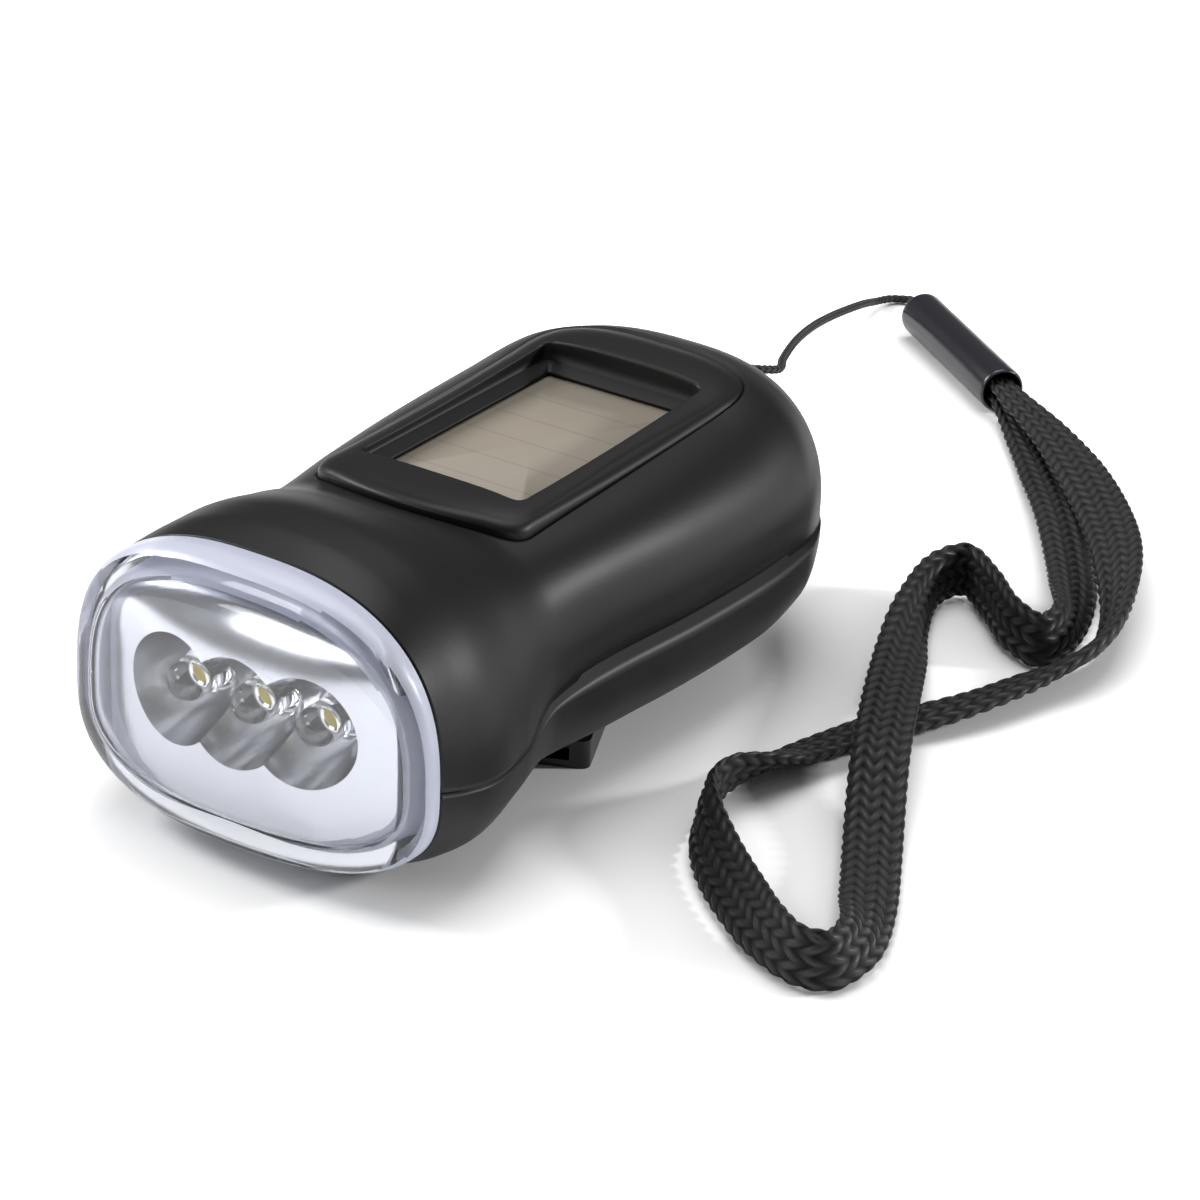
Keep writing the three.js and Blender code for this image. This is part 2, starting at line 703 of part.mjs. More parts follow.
const coilLow = coverHigh + coilSeatHeight + seat;
const coilHigh = statorHigh - coilRoom;
const coil = ring(driveReach * coilInnerShare, driveReach * coilOuterShare, coilLow, coilHigh);
place('stator_coil', coil, 'copper').position.set(rotorCentre.x, rotorCentre.y, 0);

const statorCup = rod(statorRadius, statorLow, statorHigh, 24)
  .subtract(rod(statorRadius - statorWall, statorLow - overrun, statorHigh - statorWall, 24))
  .subtract(rod(rotorShaftRadius + running, statorLow, statorHigh + overrun, 16));
place('stator_cup', statorCup, 'steel').position.set(rotorCentre.x, rotorCentre.y, 0);

// Base plate with three hollow posts, and the cover plate that lies on them
let base = gearPlate(plateLift);
posts.forEach((post) => {
  base = base.add(moved(rod(postRadius, plateLift, coverLow - seat, 14), post));
});
posts.forEach((post) => {
  base = base.subtract(moved(rod(plateScrewRadius + seat, 0, bodyHeight, 10), post));
});
base = base.subtract(moved(rod(shaftRadius + seat, 0, bodyHeight), crankCentre));
[firstCentre, secondCentre].forEach((centre) => {
  base = base.subtract(moved(rod(axleRadius + seat, 0, bodyHeight, 12), centre));
});
place('gearbox_base', base, 'nylon');

const mainBoardLow = coverHigh + seat + boardThickness;
const pinReach = mainBoardLength / 2 - bossRadius;
const boardPins = [
  new THREE.Vector2(-mainBoardOffset - mainBoardWidth / 4, at(switchAlong - pinReach)),
  new THREE.Vector2(-mainBoardOffset, at(switchAlong + pinReach)),
];
let cover = gearPlate(coverLow);
const coilSeatRadius = statorRadius - statorWall - seat;
const coilSeat = ring(coilSeatRadius - coilSeatWall, coilSeatRadius, coverLow, coverHigh + coilSeatHeight);
cover = cover.add(moved(coilSeat, rotorCentre));
boardPins.forEach((pin) => {
  cover = cover.add(moved(rod(boardPostRadius, coverLow, mainBoardLow - seat, 12), pin));
  cover = cover.add(moved(rod(boardPinRadius, coverLow, mainBoardLow + 2 * boardThickness, 10), pin));
});
posts.forEach((post) => {
  cover = cover.subtract(moved(rod(plateScrewRadius + seat, 0, bodyHeight, 10), post));
});
cover = cover.subtract(moved(rod(shaftNeckRadius + running, 0, bodyHeight), crankCentre));
cover = cover.subtract(moved(rod(rotorShaftRadius + running, 0, bodyHeight, 16), rotorCentre));
[firstCentre, secondCentre].forEach((centre) => {
  cover = cover.subtract(moved(rod(axleRadius + seat, 0, bodyHeight, 12), centre));
});
place('gearbox_cover', cover, 'nylon');

// A screw with its head's seat at zero height and its shank below
function slottedScrew(radius, headRadius, head, length, headUp) {
  const side = headUp ? 1 : -1;
  const slot = block(-headRadius, headRadius, -screwSlotHalf, screwSlotHalf, head / 2, head + overrun);
  const screw = rod(headRadius, 0, head, 14).subtract(slot).add(rod(radius, -length, seat, 8));
  return side > 0 ? screw : screw.rotate([180, 0, 0]);
}
const plateScrewLength = coverHigh - plateLift + plateScrewBite;
posts.forEach((post, i) => {
  const screw = slottedScrew(
    plateScrewRadius, plateScrewHeadRadius, plateScrewHead, plateScrewLength, true);
  place(`gearbox_screw_${i + 1}`, screw, 'steel').position.set(post.x, post.y, coverHigh + seat);
});

// Crank arm, folding grip, its pin and the screw that holds the arm
const armOutline = new THREE.Shape();
armOutline.absarc(0, 0, armHalfWidth, Math.PI / 2, (3 * Math.PI) / 2, false);
armOutline.lineTo(armLength - armCorner, -armHalfWidth);
armOutline.quadraticCurveTo(armLength, -armHalfWidth, armLength, -armHalfWidth + armCorner);
armOutline.lineTo(armLength, armHalfWidth - armCorner);
armOutline.quadraticCurveTo(armLength, armHalfWidth, armLength - armCorner, armHalfWidth);
armOutline.closePath();
const barrelRadius = gripThickness / 2;
const barrelHeight = gripLift + barrelRadius;
const bayHalfWidth = gripHalfWidth + seat;
const bayEnd = gripPinAt + barrelRadius + seat;
const armPinHole = rod(gripPinRadius + seat, -armHalfWidth + armWall / 2, armHalfWidth - armWall / 2, 16)
  .rotate([90, 0, 0])
  .translate([gripPinAt, 0, barrelHeight]);
const shaftSocket = shaftRod(seat, shaftLow - seat, armHeight + overrun);
const armOver = armHeight + overrun;
const arm = slab(armOutline, 0, armHeight, 8)
  .subtract(block(gripStart - seat, bayEnd, -bayHalfWidth, bayHalfWidth, -overrun, armOver))
  .subtract(block(bayEnd - seat, armLength + overrun, -bayHalfWidth, bayHalfWidth, lipHeight, armOver))
  .subtract(armPinHole)
  .subtract(shaftSocket)
  .subtract(rod(crankScrewRadius + seat, -overrun, armHeight))
  .subtract(rod(crankScrewHeadRadius + seat, -overrun, crankScrewHead + 2 * seat));
placeOnCrank('crank_arm', arm, 'blackTrim');

const gripOutline = roundedOutline([
  [gripStart, -gripHalfWidth],
  [gripPinAt, -gripHalfWidth],
  [gripPinAt, gripHalfWidth],
  [gripStart, gripHalfWidth],
], [gripCorner, gripHeelCorner, gripHeelCorner, gripCorner]);
const barrel = rod(barrelRadius, -gripHalfWidth, gripHalfWidth, 24)
  .rotate([90, 0, 0])
  .translate([gripPinAt, 0, barrelHeight]);
const fingerDish = rod(gripHalfWidth * gripWaistShare, barrelHeight + barrelRadius / 2, armOver, 28)
  .translate([(gripStart + gripPinAt) / 2, 0, 0]);
const gripBore = rod(gripPinRadius + running, -armHalfWidth, armHalfWidth, 16)
  .rotate([90, 0, 0])
  .translate([gripPinAt, 0, barrelHeight]);
const grip = slab(gripOutline, gripLift, gripLift + gripThickness, 4)
  .add(barrel)
  .subtract(fingerDish)
  .subtract(gripBore);
placeOnCrank('crank_grip', grip, 'blackTrim');

const pinHalf = armHalfWidth - armWall / 2 - seat;
const gripPin = rod(gripPinRadius, -pinHalf, pinHalf, 16)
  .rotate([90, 0, 0])
  .translate([gripPinAt, 0, barrelHeight]);
placeOnCrank('grip_pin', gripPin, 'steel');

const crankScrew = slottedScrew(
  crankScrewRadius, crankScrewHeadRadius, crankScrewHead, crankScrewLength, false);
placeOnCrank('crank_screw', crankScrew, 'steel').position.z = crankScrewHead + seat;

// Solar frame: crowned top that follows the body, window, and a recess for the cell below
function padCrown(low, margin) {
  const steps = 12;
  const across = 14;
  const reach = Math.max(padFrontHalfWidth, padRearHalfWidth) + margin + overrun;
  const rings = [];
  for (let i = 0; i <= steps; i += 1) {
    const start = padFront - 2 * padBow - overrun;
    const along = start + ((padRear + overrun - start) * i) / steps;
    const line = [];
    for (let k = 0; k <= across; k += 1) {
      const x = -reach + (2 * reach * k) / across;
      line.push(new THREE.Vector3(x, at(along), padTop(x, along)));
    }
    line.push(new THREE.Vector3(reach, at(along), low));
    line.push(new THREE.Vector3(-reach, at(along), low));
    rings.push(line);
  }
  return solid(loft(rings));
}

const cellLow = padFloor + seat;
const cellHigh = cellLow + cellThickness;
const cellOutline = (margin) => {
  const x = windowHalfWidth - windowBevel + cellMargin + margin;
  const y0 = at(windowFront + windowBevel - cellMargin - margin);
  const y1 = at(windowRear - windowBevel + cellMargin + margin);
  return roundedOutline([[-x, y0], [x, y0], [x, y1], [-x, y1]], windowCorner / 2);
};
const bezel = slab(padOutline(0), cellLow, bodyHeight, 8)
  .intersect(padCrown(cellLow - overrun, 0))
  .subtract(windowCut(-windowBevel, cellLow - overrun, bodyHeight))
  .subtract(windowCut(0, cellHigh + seat + windowBevelDepth, bodyHeight))
  .subtract(slab(cellOutline(seat), cellLow - overrun, cellHigh + seat, 4));
place('solar_bezel', bezel, 'blackShell');
place('solar_cell', slab(cellOutline(0), cellLow, cellHigh, 4), 'solar');

// Case screw bosses and the button hole
const screwSpots = [
  new THREE.Vector2(-frontScrewAcross, at(frontScrewAlong)),
  new THREE.Vector2(frontScrewAcross, at(frontScrewAlong)),
  new THREE.Vector2(-rearScrewAcross, at(rearScrewAlong)),
  new THREE.Vector2(rearScrewAcross, at(rearScrewAlong)),
];
const boardLeft = -mainBoardOffset - mainBoardWidth / 2;
const switchLow = mainBoardLow + boardThickness + seat;
const switchLift = switchLow + switchRise;
const switchTip = boardLeft - plungerReach;
const flangeInner = switchTip - running - buttonTravel;
const flangeOuter = flangeInner - buttonFlange;
const buttonFace = -bodySize(switchAlong).half - buttonProud / 2;
const buttonOutline = (margin) => {
  const shape = new THREE.Shape();
  const radius = buttonHeight / 2 + margin;
  const reach = buttonLength / 2 - buttonHeight / 2;
  shape.absarc(reach, 0, radius, -Math.PI / 2, Math.PI / 2, false);
  shape.absarc(-reach, 0, radius, Math.PI / 2, (3 * Math.PI) / 2, false);
  shape.closePath();
  return shape;
};
const sideways = (shape, x) => shape
  .rotate([90, 0, 90])
  .translate([x, at(switchAlong), switchLift]);

const upperSide = seamSide(true);
const lowerSide = seamSide(false);

// Upper shell: solar pocket, bosses, button hole and cord hole
const tray = slab(padOutline(seat + trayWall), trayUnder, bodyHeight, 8);
const pocket = slab(padOutline(seat), padFloor, bodyHeight + overrun, 8);
let upper = shellSolid.add(tray.intersect(bodyCore));
screwSpots.forEach((spot) => {
  upper = upper.add(moved(rod(bossRadius, 0, bodyHeight, 12), spot).intersect(bodyCore));
});
upper = upper.intersect(upperSide).subtract(pocket);
screwSpots.forEach((spot) => {
  upper = upper.subtract(moved(rod(screwRadius + seat, 0, padFloor - 2 * trayWall, 10), spot));
});
const buttonHole = slab(buttonOutline(seat), 0, bodyHalfWidth, 10);
const flangeRoom = buttonFlange + buttonTravel + 2 * seat;
const flangeSeat = slab(buttonOutline(buttonFlangeRim + seat), 0, flangeRoom, 10);
upper = upper
  .subtract(sideways(buttonHole, -bodyHalfWidth - overrun))
  .subtract(sideways(flangeSeat, flangeOuter - seat));
const cordHole = rod(cordRadius + seat, -cordHoleReach, cordHoleReach, 16)
  .rotate([THREE.MathUtils.radToDeg(cordHoleTilt) - 90, 0, 0])
  .translate([0, at(cordHoleAlong), cordHoleLift]);
upper = upper.subtract(cordHole);
const stopBack = lensSkirtDepth + 2 * seat + reflectorFlange;
const stopLow = bodyHeight - 2 * wall - stopReach;
const stop = block(-stopAcross, stopAcross, at(stopBack), at(stopBack + stopReach), stopLow, bodyHeight);
upper = upper.add(stop.intersect(bodyCore));
place('upper_shell', upper, 'blackShell');

// Lower shell: bosses, plate feet, saddles for the cells and slotted ribs for the lamp board
const boardAlong = reflectorBack + lampFlange + seat + lampBoardGap;
const boardSlotLow = lampHeight - lampBoardHeight / 2 - seat;
const boardBehind = boardAlong + boardThickness;
const saddleTop = cellLift - saddleDrop;
const screwSeat = (i) => screwRecess + bodyHeight * (i < 2 ? underShares[4] : underShares[9]);
const inner = [];
screwSpots.forEach((spot) => inner.push(moved(rod(bossRadius, 0, bodyHeight, 12), spot)));
posts.forEach((post) => inner.push(moved(rod(postRadius, 0, plateLift - seat, 12), post)));
const cellBed = rod(cellRadius + seat, -bodyHalfWidth, bodyHalfWidth, 28)
  .rotate([0, 90, 0])
  .translate([0, at(cellAlong), cellLift]);
const boardSlot = block(-bodyHalfWidth - overrun, bodyHalfWidth + overrun, at(boardAlong - seat),
  at(boardBehind + seat), boardSlotLow, bodyHeight);
[-1, 1].forEach((side) => {
  const near = Math.min(side * boardRibInner, side * bodyHalfWidth);
  const far = Math.max(side * boardRibInner, side * bodyHalfWidth);
  const rib = block(near, far, at(stopBack), at(boardBehind + ribWall), 0, boardRibTop);
  inner.push(rib.subtract(boardSlot));
  const middle = side * saddleAcross;
  const saddle = block(middle - ribWall / 2, middle + ribWall / 2,
    at(cellAlong - cellRadius + seat), at(cellAlong + cellRadius), 0, saddleTop);
  inner.push(saddle.subtract(cellBed));
});
let lower = shellSolid;
inner.forEach((piece) => {
  lower = lower.add(piece.intersect(bodyCore));
});
lower = lower.intersect(lowerSide);
screwSpots.forEach((spot, i) => {
  const headSeat = screwSeat(i);
  lower = lower
    .subtract(moved(rod(screwRadius + seat, -overrun, bodyHeight, 10), spot))
    .subtract(moved(rod(screwHeadRadius + seat, -overrun, headSeat + seat, 14), spot));
});
const plateScrewEnd = coverHigh - plateScrewLength;
posts.forEach((post) => {
  lower = lower.subtract(moved(rod(plateScrewRadius + seat, plateScrewEnd, bodyHeight, 10), post));
});
lower = lower.subtract(moved(rod(bushOuter + seat, -overrun, bodyHeight, 24), crankCentre));
place('lower_shell', lower, 'blackShell');

screwSpots.forEach((spot, i) => {
  const screw = slottedScrew(screwRadius, screwHeadRadius, screwHead, screwLength, false);
  place(`case_screw_${i + 1}`, screw, 'steel').position.set(spot.x, spot.y, screwSeat(i));
});

// Clear cover: bowed dome on a skirt that slips into the rim
const lensBow = (x, reach) => reach - (reach - lensSideReach) * (x / bodyHalfWidth) ** 2;
function lensDome(inset, reach, back) {
  const outline = bodyRing(0, inset, inset > 0 ? innerSides : outerSides);
  const middle = bodySize(0).seam;
  const ring0 = outline.map((p) => new THREE.Vector3(p.x, back, p.z));
  const shares = [1, 0.985, 0.95, 0.88, 0.76, 0.58, 0.3];
  const edgePower = 5;
  return solid(loft([ring0, ...shares.map((share) => outline.map((p) => {
    const x = p.x * share;
    const fall = Math.max(0, 1 - share ** edgePower) ** (1 / edgePower);
    const along = -seat - lensBow(x, reach - seat) * fall;
    return new THREE.Vector3(x, at(along), middle + (p.z - middle) * share);
  }))]));
}
const skirtOuter = wall + seat;
const rimSlab = (inset, low, high) => solid(loft([
  bodyRing(0, inset, innerSides).map((p) => p.setY(at(low))),
  bodyRing(0, inset, innerSides).map((p) => p.setY(at(high))),
]));
const lensCover = lensDome(0, lensReach, at(-seat))
  .subtract(lensDome(skirtOuter + lensSkirtWall, lensReach - lensWall, at(overrun)))
  .add(rimSlab(skirtOuter, -lensWall, lensSkirtDepth)
    .subtract(rimSlab(skirtOuter + lensSkirtWall, -lensWall - lensReach, lensSkirtDepth + overrun)));
place('lens_cover', lensCover, 'clear');

// Reflector: bowed face, three overlapping cups, a dish above them, and a flange behind the lens skirt
const faceSteps = 10;
function bowedSheet(front, back, half) {
  const shape = new THREE.Shape();
  for (let i = 0; i <= faceSteps; i += 1) {
    const x = -half + (2 * half * i) / faceSteps;
    const y = at(front - reflectorBulge * (1 - (x / half) ** 2));
    if (i === 0) shape.moveTo(x, y);
    else shape.lineTo(x, y);
  }
  for (let i = faceSteps; i >= 0; i -= 1) {
    const x = -half + (2 * half * i) / faceSteps;
    const bowed = front + reflectorFlange - reflectorBulge * (1 - (x / half) ** 2);
    shape.lineTo(x, at(back === null ? bowed : back));
  }
  shape.closePath();
  return slab(shape, 0, bodyHeight, 1);
}
const faceFront = -reflectorSetback;
const facePlane = roundedOutline([
  [-reflectorHalfWidth, reflectorLift],
  [reflectorHalfWidth, reflectorLift],
  [reflectorHalfWidth, reflectorLift + reflectorHeight],
  [-reflectorHalfWidth, reflectorLift + reflectorHeight],
], [reflectorHeight / 4, reflectorHeight / 4, reflectorHeight / 3, reflectorHeight / 3]);
const throughFace = (outline, front, back) => slab(outline, 0, back - front, 10)
  .rotate([90, 0, 0])
  .translate([0, at(back), 0]);
const cupProfile = (grow, front, back) => {
  const points = [[0, front]];
  const cupSteps = grow > 0 ? 2 : 4;
  const mouth = cupRadius + grow;
  const foot = lampRadius + seat + grow;
  for (let i = 0; i <= cupSteps; i += 1) {
    const share = i / cupSteps;
    points.push([foot + (mouth - foot) * Math.sqrt(1 - share), front + (back - front) * share]);
  }
  points.push([0, back]);
  return points;
};
const cupFront = faceFront - reflectorBulge - cupLead;
const cupBack = cupFront + cupDepth;
const alongLens = (shape, x, z) => shape.rotate([-90, 0, 0]).translate([x, at(0), z]);
const lampSpots = [-lampPitch, 0, lampPitch];
const faceBack = reflectorBack + overrun;
const flangeFront = lensSkirtDepth + seat;
const flangeBack = flangeFront + reflectorFlange;
const envelopeInset = skirtOuter + lensSkirtWall + seat;
const opening = throughFace(facePlane, -lensReach, faceBack)
  .scale([openingWidthShare, 1, openingHeightShare])
  .translate([0, 0, openingLift])
  .intersect(rimSlab(envelopeInset + reflectorFlange, -lensReach, faceBack));
const facing = bowedSheet(faceFront, faceBack, reflectorHalfWidth);
const dishHalfWidth = reflectorHalfWidth * dishWidthShare;
const dishHalfHeight = reflectorHeight * dishHeightShare;
const dishAt = (grow) => solid(new THREE.SphereGeometry(1, 16, 10)
  .scale(dishHalfWidth + grow, dishDepth + grow, dishHalfHeight + grow)
  .translate(0, at(faceFront - reflectorBulge), reflectorLift + reflectorHeight * dishLiftShare));
const cupAt = (x, grow, front, back, sides) => alongLens(
  turned(cupProfile(grow, front, back), sides), x, lampHeight);
const sideWall = throughFace(facePlane, faceFront - reflectorBulge, flangeBack)
  .subtract(opening)
  .intersect(facing);
let reflector = bowedSheet(faceFront, null, reflectorHalfWidth)
  .intersect(throughFace(facePlane, -lensReach, reflectorBack))
  .add(sideWall)
  .add(dishAt(reflectorFlange).intersect(facing));
lampSpots.forEach((x) => {
  reflector = reflector.add(cupAt(x, reflectorFlange, cupFront, cupBack, 12).intersect(facing));
});
const envelope = lensDome(envelopeInset, lensReach - lensWall - seat, at(reflectorBack));
const flange = rimSlab(skirtOuter, flangeFront, flangeBack).subtract(opening);
reflector = reflector.intersect(envelope).add(flange).subtract(dishAt(0));
lampSpots.forEach((x) => {
  reflector = reflector.subtract(cupAt(x, 0, cupFront - seat, cupBack + seat, 16));
});
place('reflector', reflector, 'chrome');

// Lamps on their board
const lampBack = cupBack + seat + lampFlange;
lampSpots.forEach((x, i) => {
  const dome = [[0, lampBack - lampLength]];
  const domeSteps = 3;
  for (let k = 1; k <= domeSteps; k += 1) {
    const turn = (Math.PI / 2) * (k / domeSteps);
    dome.push([lampRadius * Math.sin(turn), lampBack - lampLength + lampRadius * (1 - Math.cos(turn))]);
  }
  const rim = [[lampRadius, lampBack - lampFlange], [lampFlangeRadius, lampBack - lampFlange]];
  const body = turned([...dome, ...rim, [lampFlangeRadius, lampBack], [0, lampBack]], 16);
  let lamp = alongLens(body, x, lampHeight);
  [-1, 1].forEach((side) => {
    const legX = x + (side * lampLegPitch) / 2;
    const leg = block(legX - lampLeg / 2, legX + lampLeg / 2, at(lampBack - lampFlange / 2),
      at(boardBehind + lampFlange), lampHeight - lampLeg / 2, lampHeight + lampLeg / 2);
    lamp = lamp.add(leg);
  });
  place(`led_${i + 1}`, lamp, 'clear');
});
let lampBoard = block(-lampBoardWidth / 2, lampBoardWidth / 2, at(boardAlong), at(boardBehind),
  lampHeight - lampBoardHeight / 2, lampHeight + lampBoardHeight / 2);
lampSpots.forEach((x) => [-1, 1].forEach((side) => {
  const hole = rod(lampLeg + seat, boardAlong - overrun, boardBehind + overrun, 8);
  lampBoard = lampBoard.subtract(alongLens(hole, x + (side * lampLegPitch) / 2, lampHeight));
}));
place('led_board', lampBoard, 'board');

// Main board, tact switch and side button
let mainBoard = block(boardLeft, boardLeft + mainBoardWidth, at(switchAlong - mainBoardLength / 2),
  at(switchAlong + mainBoardLength / 2), mainBoardLow, mainBoardLow + boardThickness);
boardPins.forEach((pin) => {
  mainBoard = mainBoard.subtract(moved(rod(boardPinRadius + seat, 0, bodyHeight, 12), pin));
});
place('main_board', mainBoard, 'board');
const tactSwitch = block(boardLeft, boardLeft + switchHeight, at(switchAlong) - switchBody / 2,
  at(switchAlong) + switchBody / 2, switchLow, 2 * switchLift - switchLow)
  .add(rod(plungerRadius, switchTip, boardLeft + seat, 20).rotate([0, 90, 0])
    .translate([0, at(switchAlong), switchLift]));
place('tact_switch', tactSwitch, 'blackTrim');

const button = sideways(slab(buttonOutline(0), 0, flangeInner - buttonFace, 10), buttonFace)
  .add(sideways(slab(buttonOutline(buttonFlangeRim), 0, flangeInner - flangeOuter, 10), flangeOuter));
place('switch_button', button, 'blackTrim');

// Rechargeable cells side by side across the tail
const cellPitch = buttonCellWidth + seat;
[-1, 0, 1].forEach((slot, i) => {
  const half = buttonCellWidth / 2;
  const face = cellRadius * cellRimShare;
  const lip = cellRadius - face;
  const side = [[face, -half], [cellRadius, -half + lip], [cellRadius, half - lip], [face, half]];
  const cell = turned([[0, -half], ...side, [0, half]], 20);
  place(`cell_${i + 1}`, cell.rotate([0, 90, 0]), 'steel')
    .position.set(slot * cellPitch, at(cellAlong), cellLift);
});

// Routes of the cord and of the strap: across, behind the tail, height, and for the strap its lean
const alongHole = (reach) => [
  0,
  cordHoleAlong - bodyLength + reach * Math.cos(cordHoleTilt),
  cordHoleLift + reach * Math.sin(cordHoleTilt),
];
const cordRoute = [
  alongHole(-knotBehind), alongHole(-cordInside), alongHole(cordOutside),
  [1, 0.8, 27.5], [2.6, 3.6, 27], [2.9, 7, 26], [0.3, 12.3, 24.9],
  [-5.1, 24.3, 22], [-11.5, 39.6, 17.5], [-17.7, 55.7, 12.3], [-23.1, 71.5, 7.2],
  [-26.8, 81.5, 3.6], [-28.6, 87.4, 1.5], [-28.2, 91.2, 0.8], [-25.8, 92.7, 0.8], [-23.6, 91.4, 1.4],
  [-22, 88.7, 2.4], [-20.6, 86, 3.2], [-18.7, 83.7, 3.4], [-16.3, 81.9, 3.4],
];
const strapRoute = [
  [2.4, 68, 2.5, 0], [4.6, 66.3, 2.5, 0], [7.6, 63.8, 2.1, 0],
  [14.3, 57, 1.4, 0], [23.1, 46.6, 1.4, 4], [31.4, 35.7, 1.8, 10], [38.7, 24.9, 2, 14],
  [44.7, 14.6, 2.7, 26], [49.6, 2.8, 4, 74], [49, -1.9, 3.9, 84], [43.9, -0.1, 4, 80], [37.4, 5.8, 4, 78],
  [31, 10.3, 3.9, 84], [29.4, 5.5, 4, 80], [32, -4.7, 3.8, 58],
  [36.8, -15.8, 3.6, 24], [43.8, -30.7, 4.8, 6],
  [49.1, -41.6, 4.9, 6], [53.5, -49.9, 3.1, 6], [58.3, -58.6, 1.9, 10],
  [64.9, -70.8, 2.4, 20], [69.3, -80.7, 3.8, 55],
  [69.2, -86.2, 3.9, 84], [66.1, -87.5, 4, 82], [60.4, -85.1, 3.9, 64],
  [53.5, -79.9, 3.5, 45], [46.7, -74.1, 3.5, 45],
  [41.5, -68.6, 3.9, 62], [38, -62.7, 3.9, 84], [37.2, -57.5, 4, 80],
  [37.9, -52.2, 3.4, 44], [38.8, -45.5, 2.2, 18],
  [41, -37.5, 1.7, 8], [43.5, -29.6, 1.5, 4], [47, -23.4, 1.8, 10],
  [49.9, -17.3, 2.2, 18], [52.5, -9.2, 2.5, 22],
  [54.8, -3.2, 3.3, 40], [55.4, 3.4, 3.9, 60], [52.4, 12.8, 4.3, 56], [46.2, 24.1, 4.9, 34],
  [36.6, 37.4, 4.2, 18], [27, 48, 4, 6], [16.9, 57.2, 3.9, 0],
  [8.4, 63.2, 4.2, 0], [4.6, 66.3, 4.3, 0], [2.4, 68, 4.3, 0],
];
const strapEndShares = [0.53, 0.53, 0.64, 0.85, 1];
const cordSides = 4;
const cordSteps = 40;
const strapSteps = 2;

const routePoint = ([x, behind, z]) => new THREE.Vector3(x, at(bodyLength + behind), z);
const cordPath = new THREE.CatmullRomCurve3(cordRoute.map(routePoint));
const cordSection = new THREE.Shape().absarc(0, 0, cordRadius, 0, 2 * Math.PI);
const cordTube = solid(new THREE.ExtrudeGeometry(cordSection, {
  steps: cordSteps,
  curveSegments: cordSides,
  bevelEnabled: false,
  extrudePath: cordPath,
}));
const knot = solid(new THREE.SphereGeometry(knotRadius, 8, 5)).translate(cordPath.getPoint(0).toArray());
place('wrist_cord', cordTube.add(knot), 'webbing');

// The strap is a flat band: its width leans between lying flat and standing on its edge
function strapRings() {
  const path = new THREE.CatmullRomCurve3(strapRoute.map(routePoint));
  const last = strapRoute.length - 1;
  const rings = [];
  for (let i = 0; i <= last * strapSteps; i += 1) {
    const spot = i / strapSteps;
    const low = Math.min(Math.floor(spot), last - 1);
    const lean = THREE.MathUtils.degToRad(
      THREE.MathUtils.lerp(strapRoute[low][3], strapRoute[low + 1][3], spot - low));
    const fromEnd = Math.min(spot, last - spot);
    const taper = strapEndShares[Math.min(Math.round(fromEnd), strapEndShares.length - 1)];
    const ahead = path.getTangent(spot / last);
    const side = new THREE.Vector3(ahead.y, -ahead.x, 0).normalize();
    const across = side.multiplyScalar(Math.cos(lean)).add(new THREE.Vector3(0, 0, Math.sin(lean)));
    const face = across.clone().cross(ahead).normalize();
    const half = (strapWidth / 2) * taper;
    const thin = (strapThickness / 2) * Math.sqrt(taper);
    const middle = path.getPoint(spot / last);
    const flat = half - thin;
    const corners = [[-half, 0], [-flat, -thin], [flat, -thin], [half, 0], [flat, thin], [-flat, thin]];
    const spotAt = ([w, t]) => middle.clone().addScaledVector(across, w).addScaledVector(face, t);
    rings.push(corners.map(spotAt));
  }
  return rings;
}
place('wrist_strap', solid(loft(strapRings())), 'webbing');

const sleeveFoot = routePoint(cordRoute[cordRoute.length - 2]);
const strapFoot = routePoint(strapRoute[1]);
const sleeveTurn = Math.atan2(strapFoot.y - sleeveFoot.y, strapFoot.x - sleeveFoot.x);
const sleeveFace = sleeveRadius - sleeveEdge;
const sleeveSide = [
  [sleeveFace, 0], [sleeveRadius, sleeveEdge],
  [sleeveRadius, sleeveLength - sleeveEdge], [sleeveFace, sleeveLength],
];
const sleeve = turned([[0, 0], ...sleeveSide, [0, sleeveLength]], 24)
  .subtract(rod(cordRadius + seat, -overrun, sleeveBoreDepth, 12))
  .subtract(rod(sleeveBore, sleeveLength - sleeveBoreDepth, sleeveLength + overrun, 20))
  .rotate([0, 90, 0])
  .rotate([0, 0, THREE.MathUtils.radToDeg(sleeveTurn)]);
place('cord_sleeve', sleeve, 'blackTrim').position.set(sleeveFoot.x, sleeveFoot.y, sleeveLift);

export default group;
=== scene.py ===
"""Looks of a hand crank flashlight: satin black shells, a clear bowed lens over a chrome reflector with three
lamps, a taupe solar cell in its frame, and a braided wrist strap on a thin cord. Metres, +Y from lens to tail."""

import math

import bmesh
import bpy
import numpy as np
from mathutils import Matrix, Vector


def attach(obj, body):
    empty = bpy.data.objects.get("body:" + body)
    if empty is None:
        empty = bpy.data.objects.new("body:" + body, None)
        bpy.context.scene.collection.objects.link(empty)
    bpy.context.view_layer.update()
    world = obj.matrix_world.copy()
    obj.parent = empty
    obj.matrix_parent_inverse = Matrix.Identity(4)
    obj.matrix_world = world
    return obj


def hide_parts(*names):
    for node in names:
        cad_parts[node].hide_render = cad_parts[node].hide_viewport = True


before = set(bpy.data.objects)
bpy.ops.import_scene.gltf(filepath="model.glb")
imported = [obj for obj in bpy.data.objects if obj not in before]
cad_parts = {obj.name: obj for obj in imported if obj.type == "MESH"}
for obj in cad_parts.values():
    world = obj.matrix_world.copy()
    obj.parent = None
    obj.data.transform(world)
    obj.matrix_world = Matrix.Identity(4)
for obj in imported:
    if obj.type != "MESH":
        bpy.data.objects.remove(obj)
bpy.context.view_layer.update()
scene = bpy.context.scene
MM = 0.001

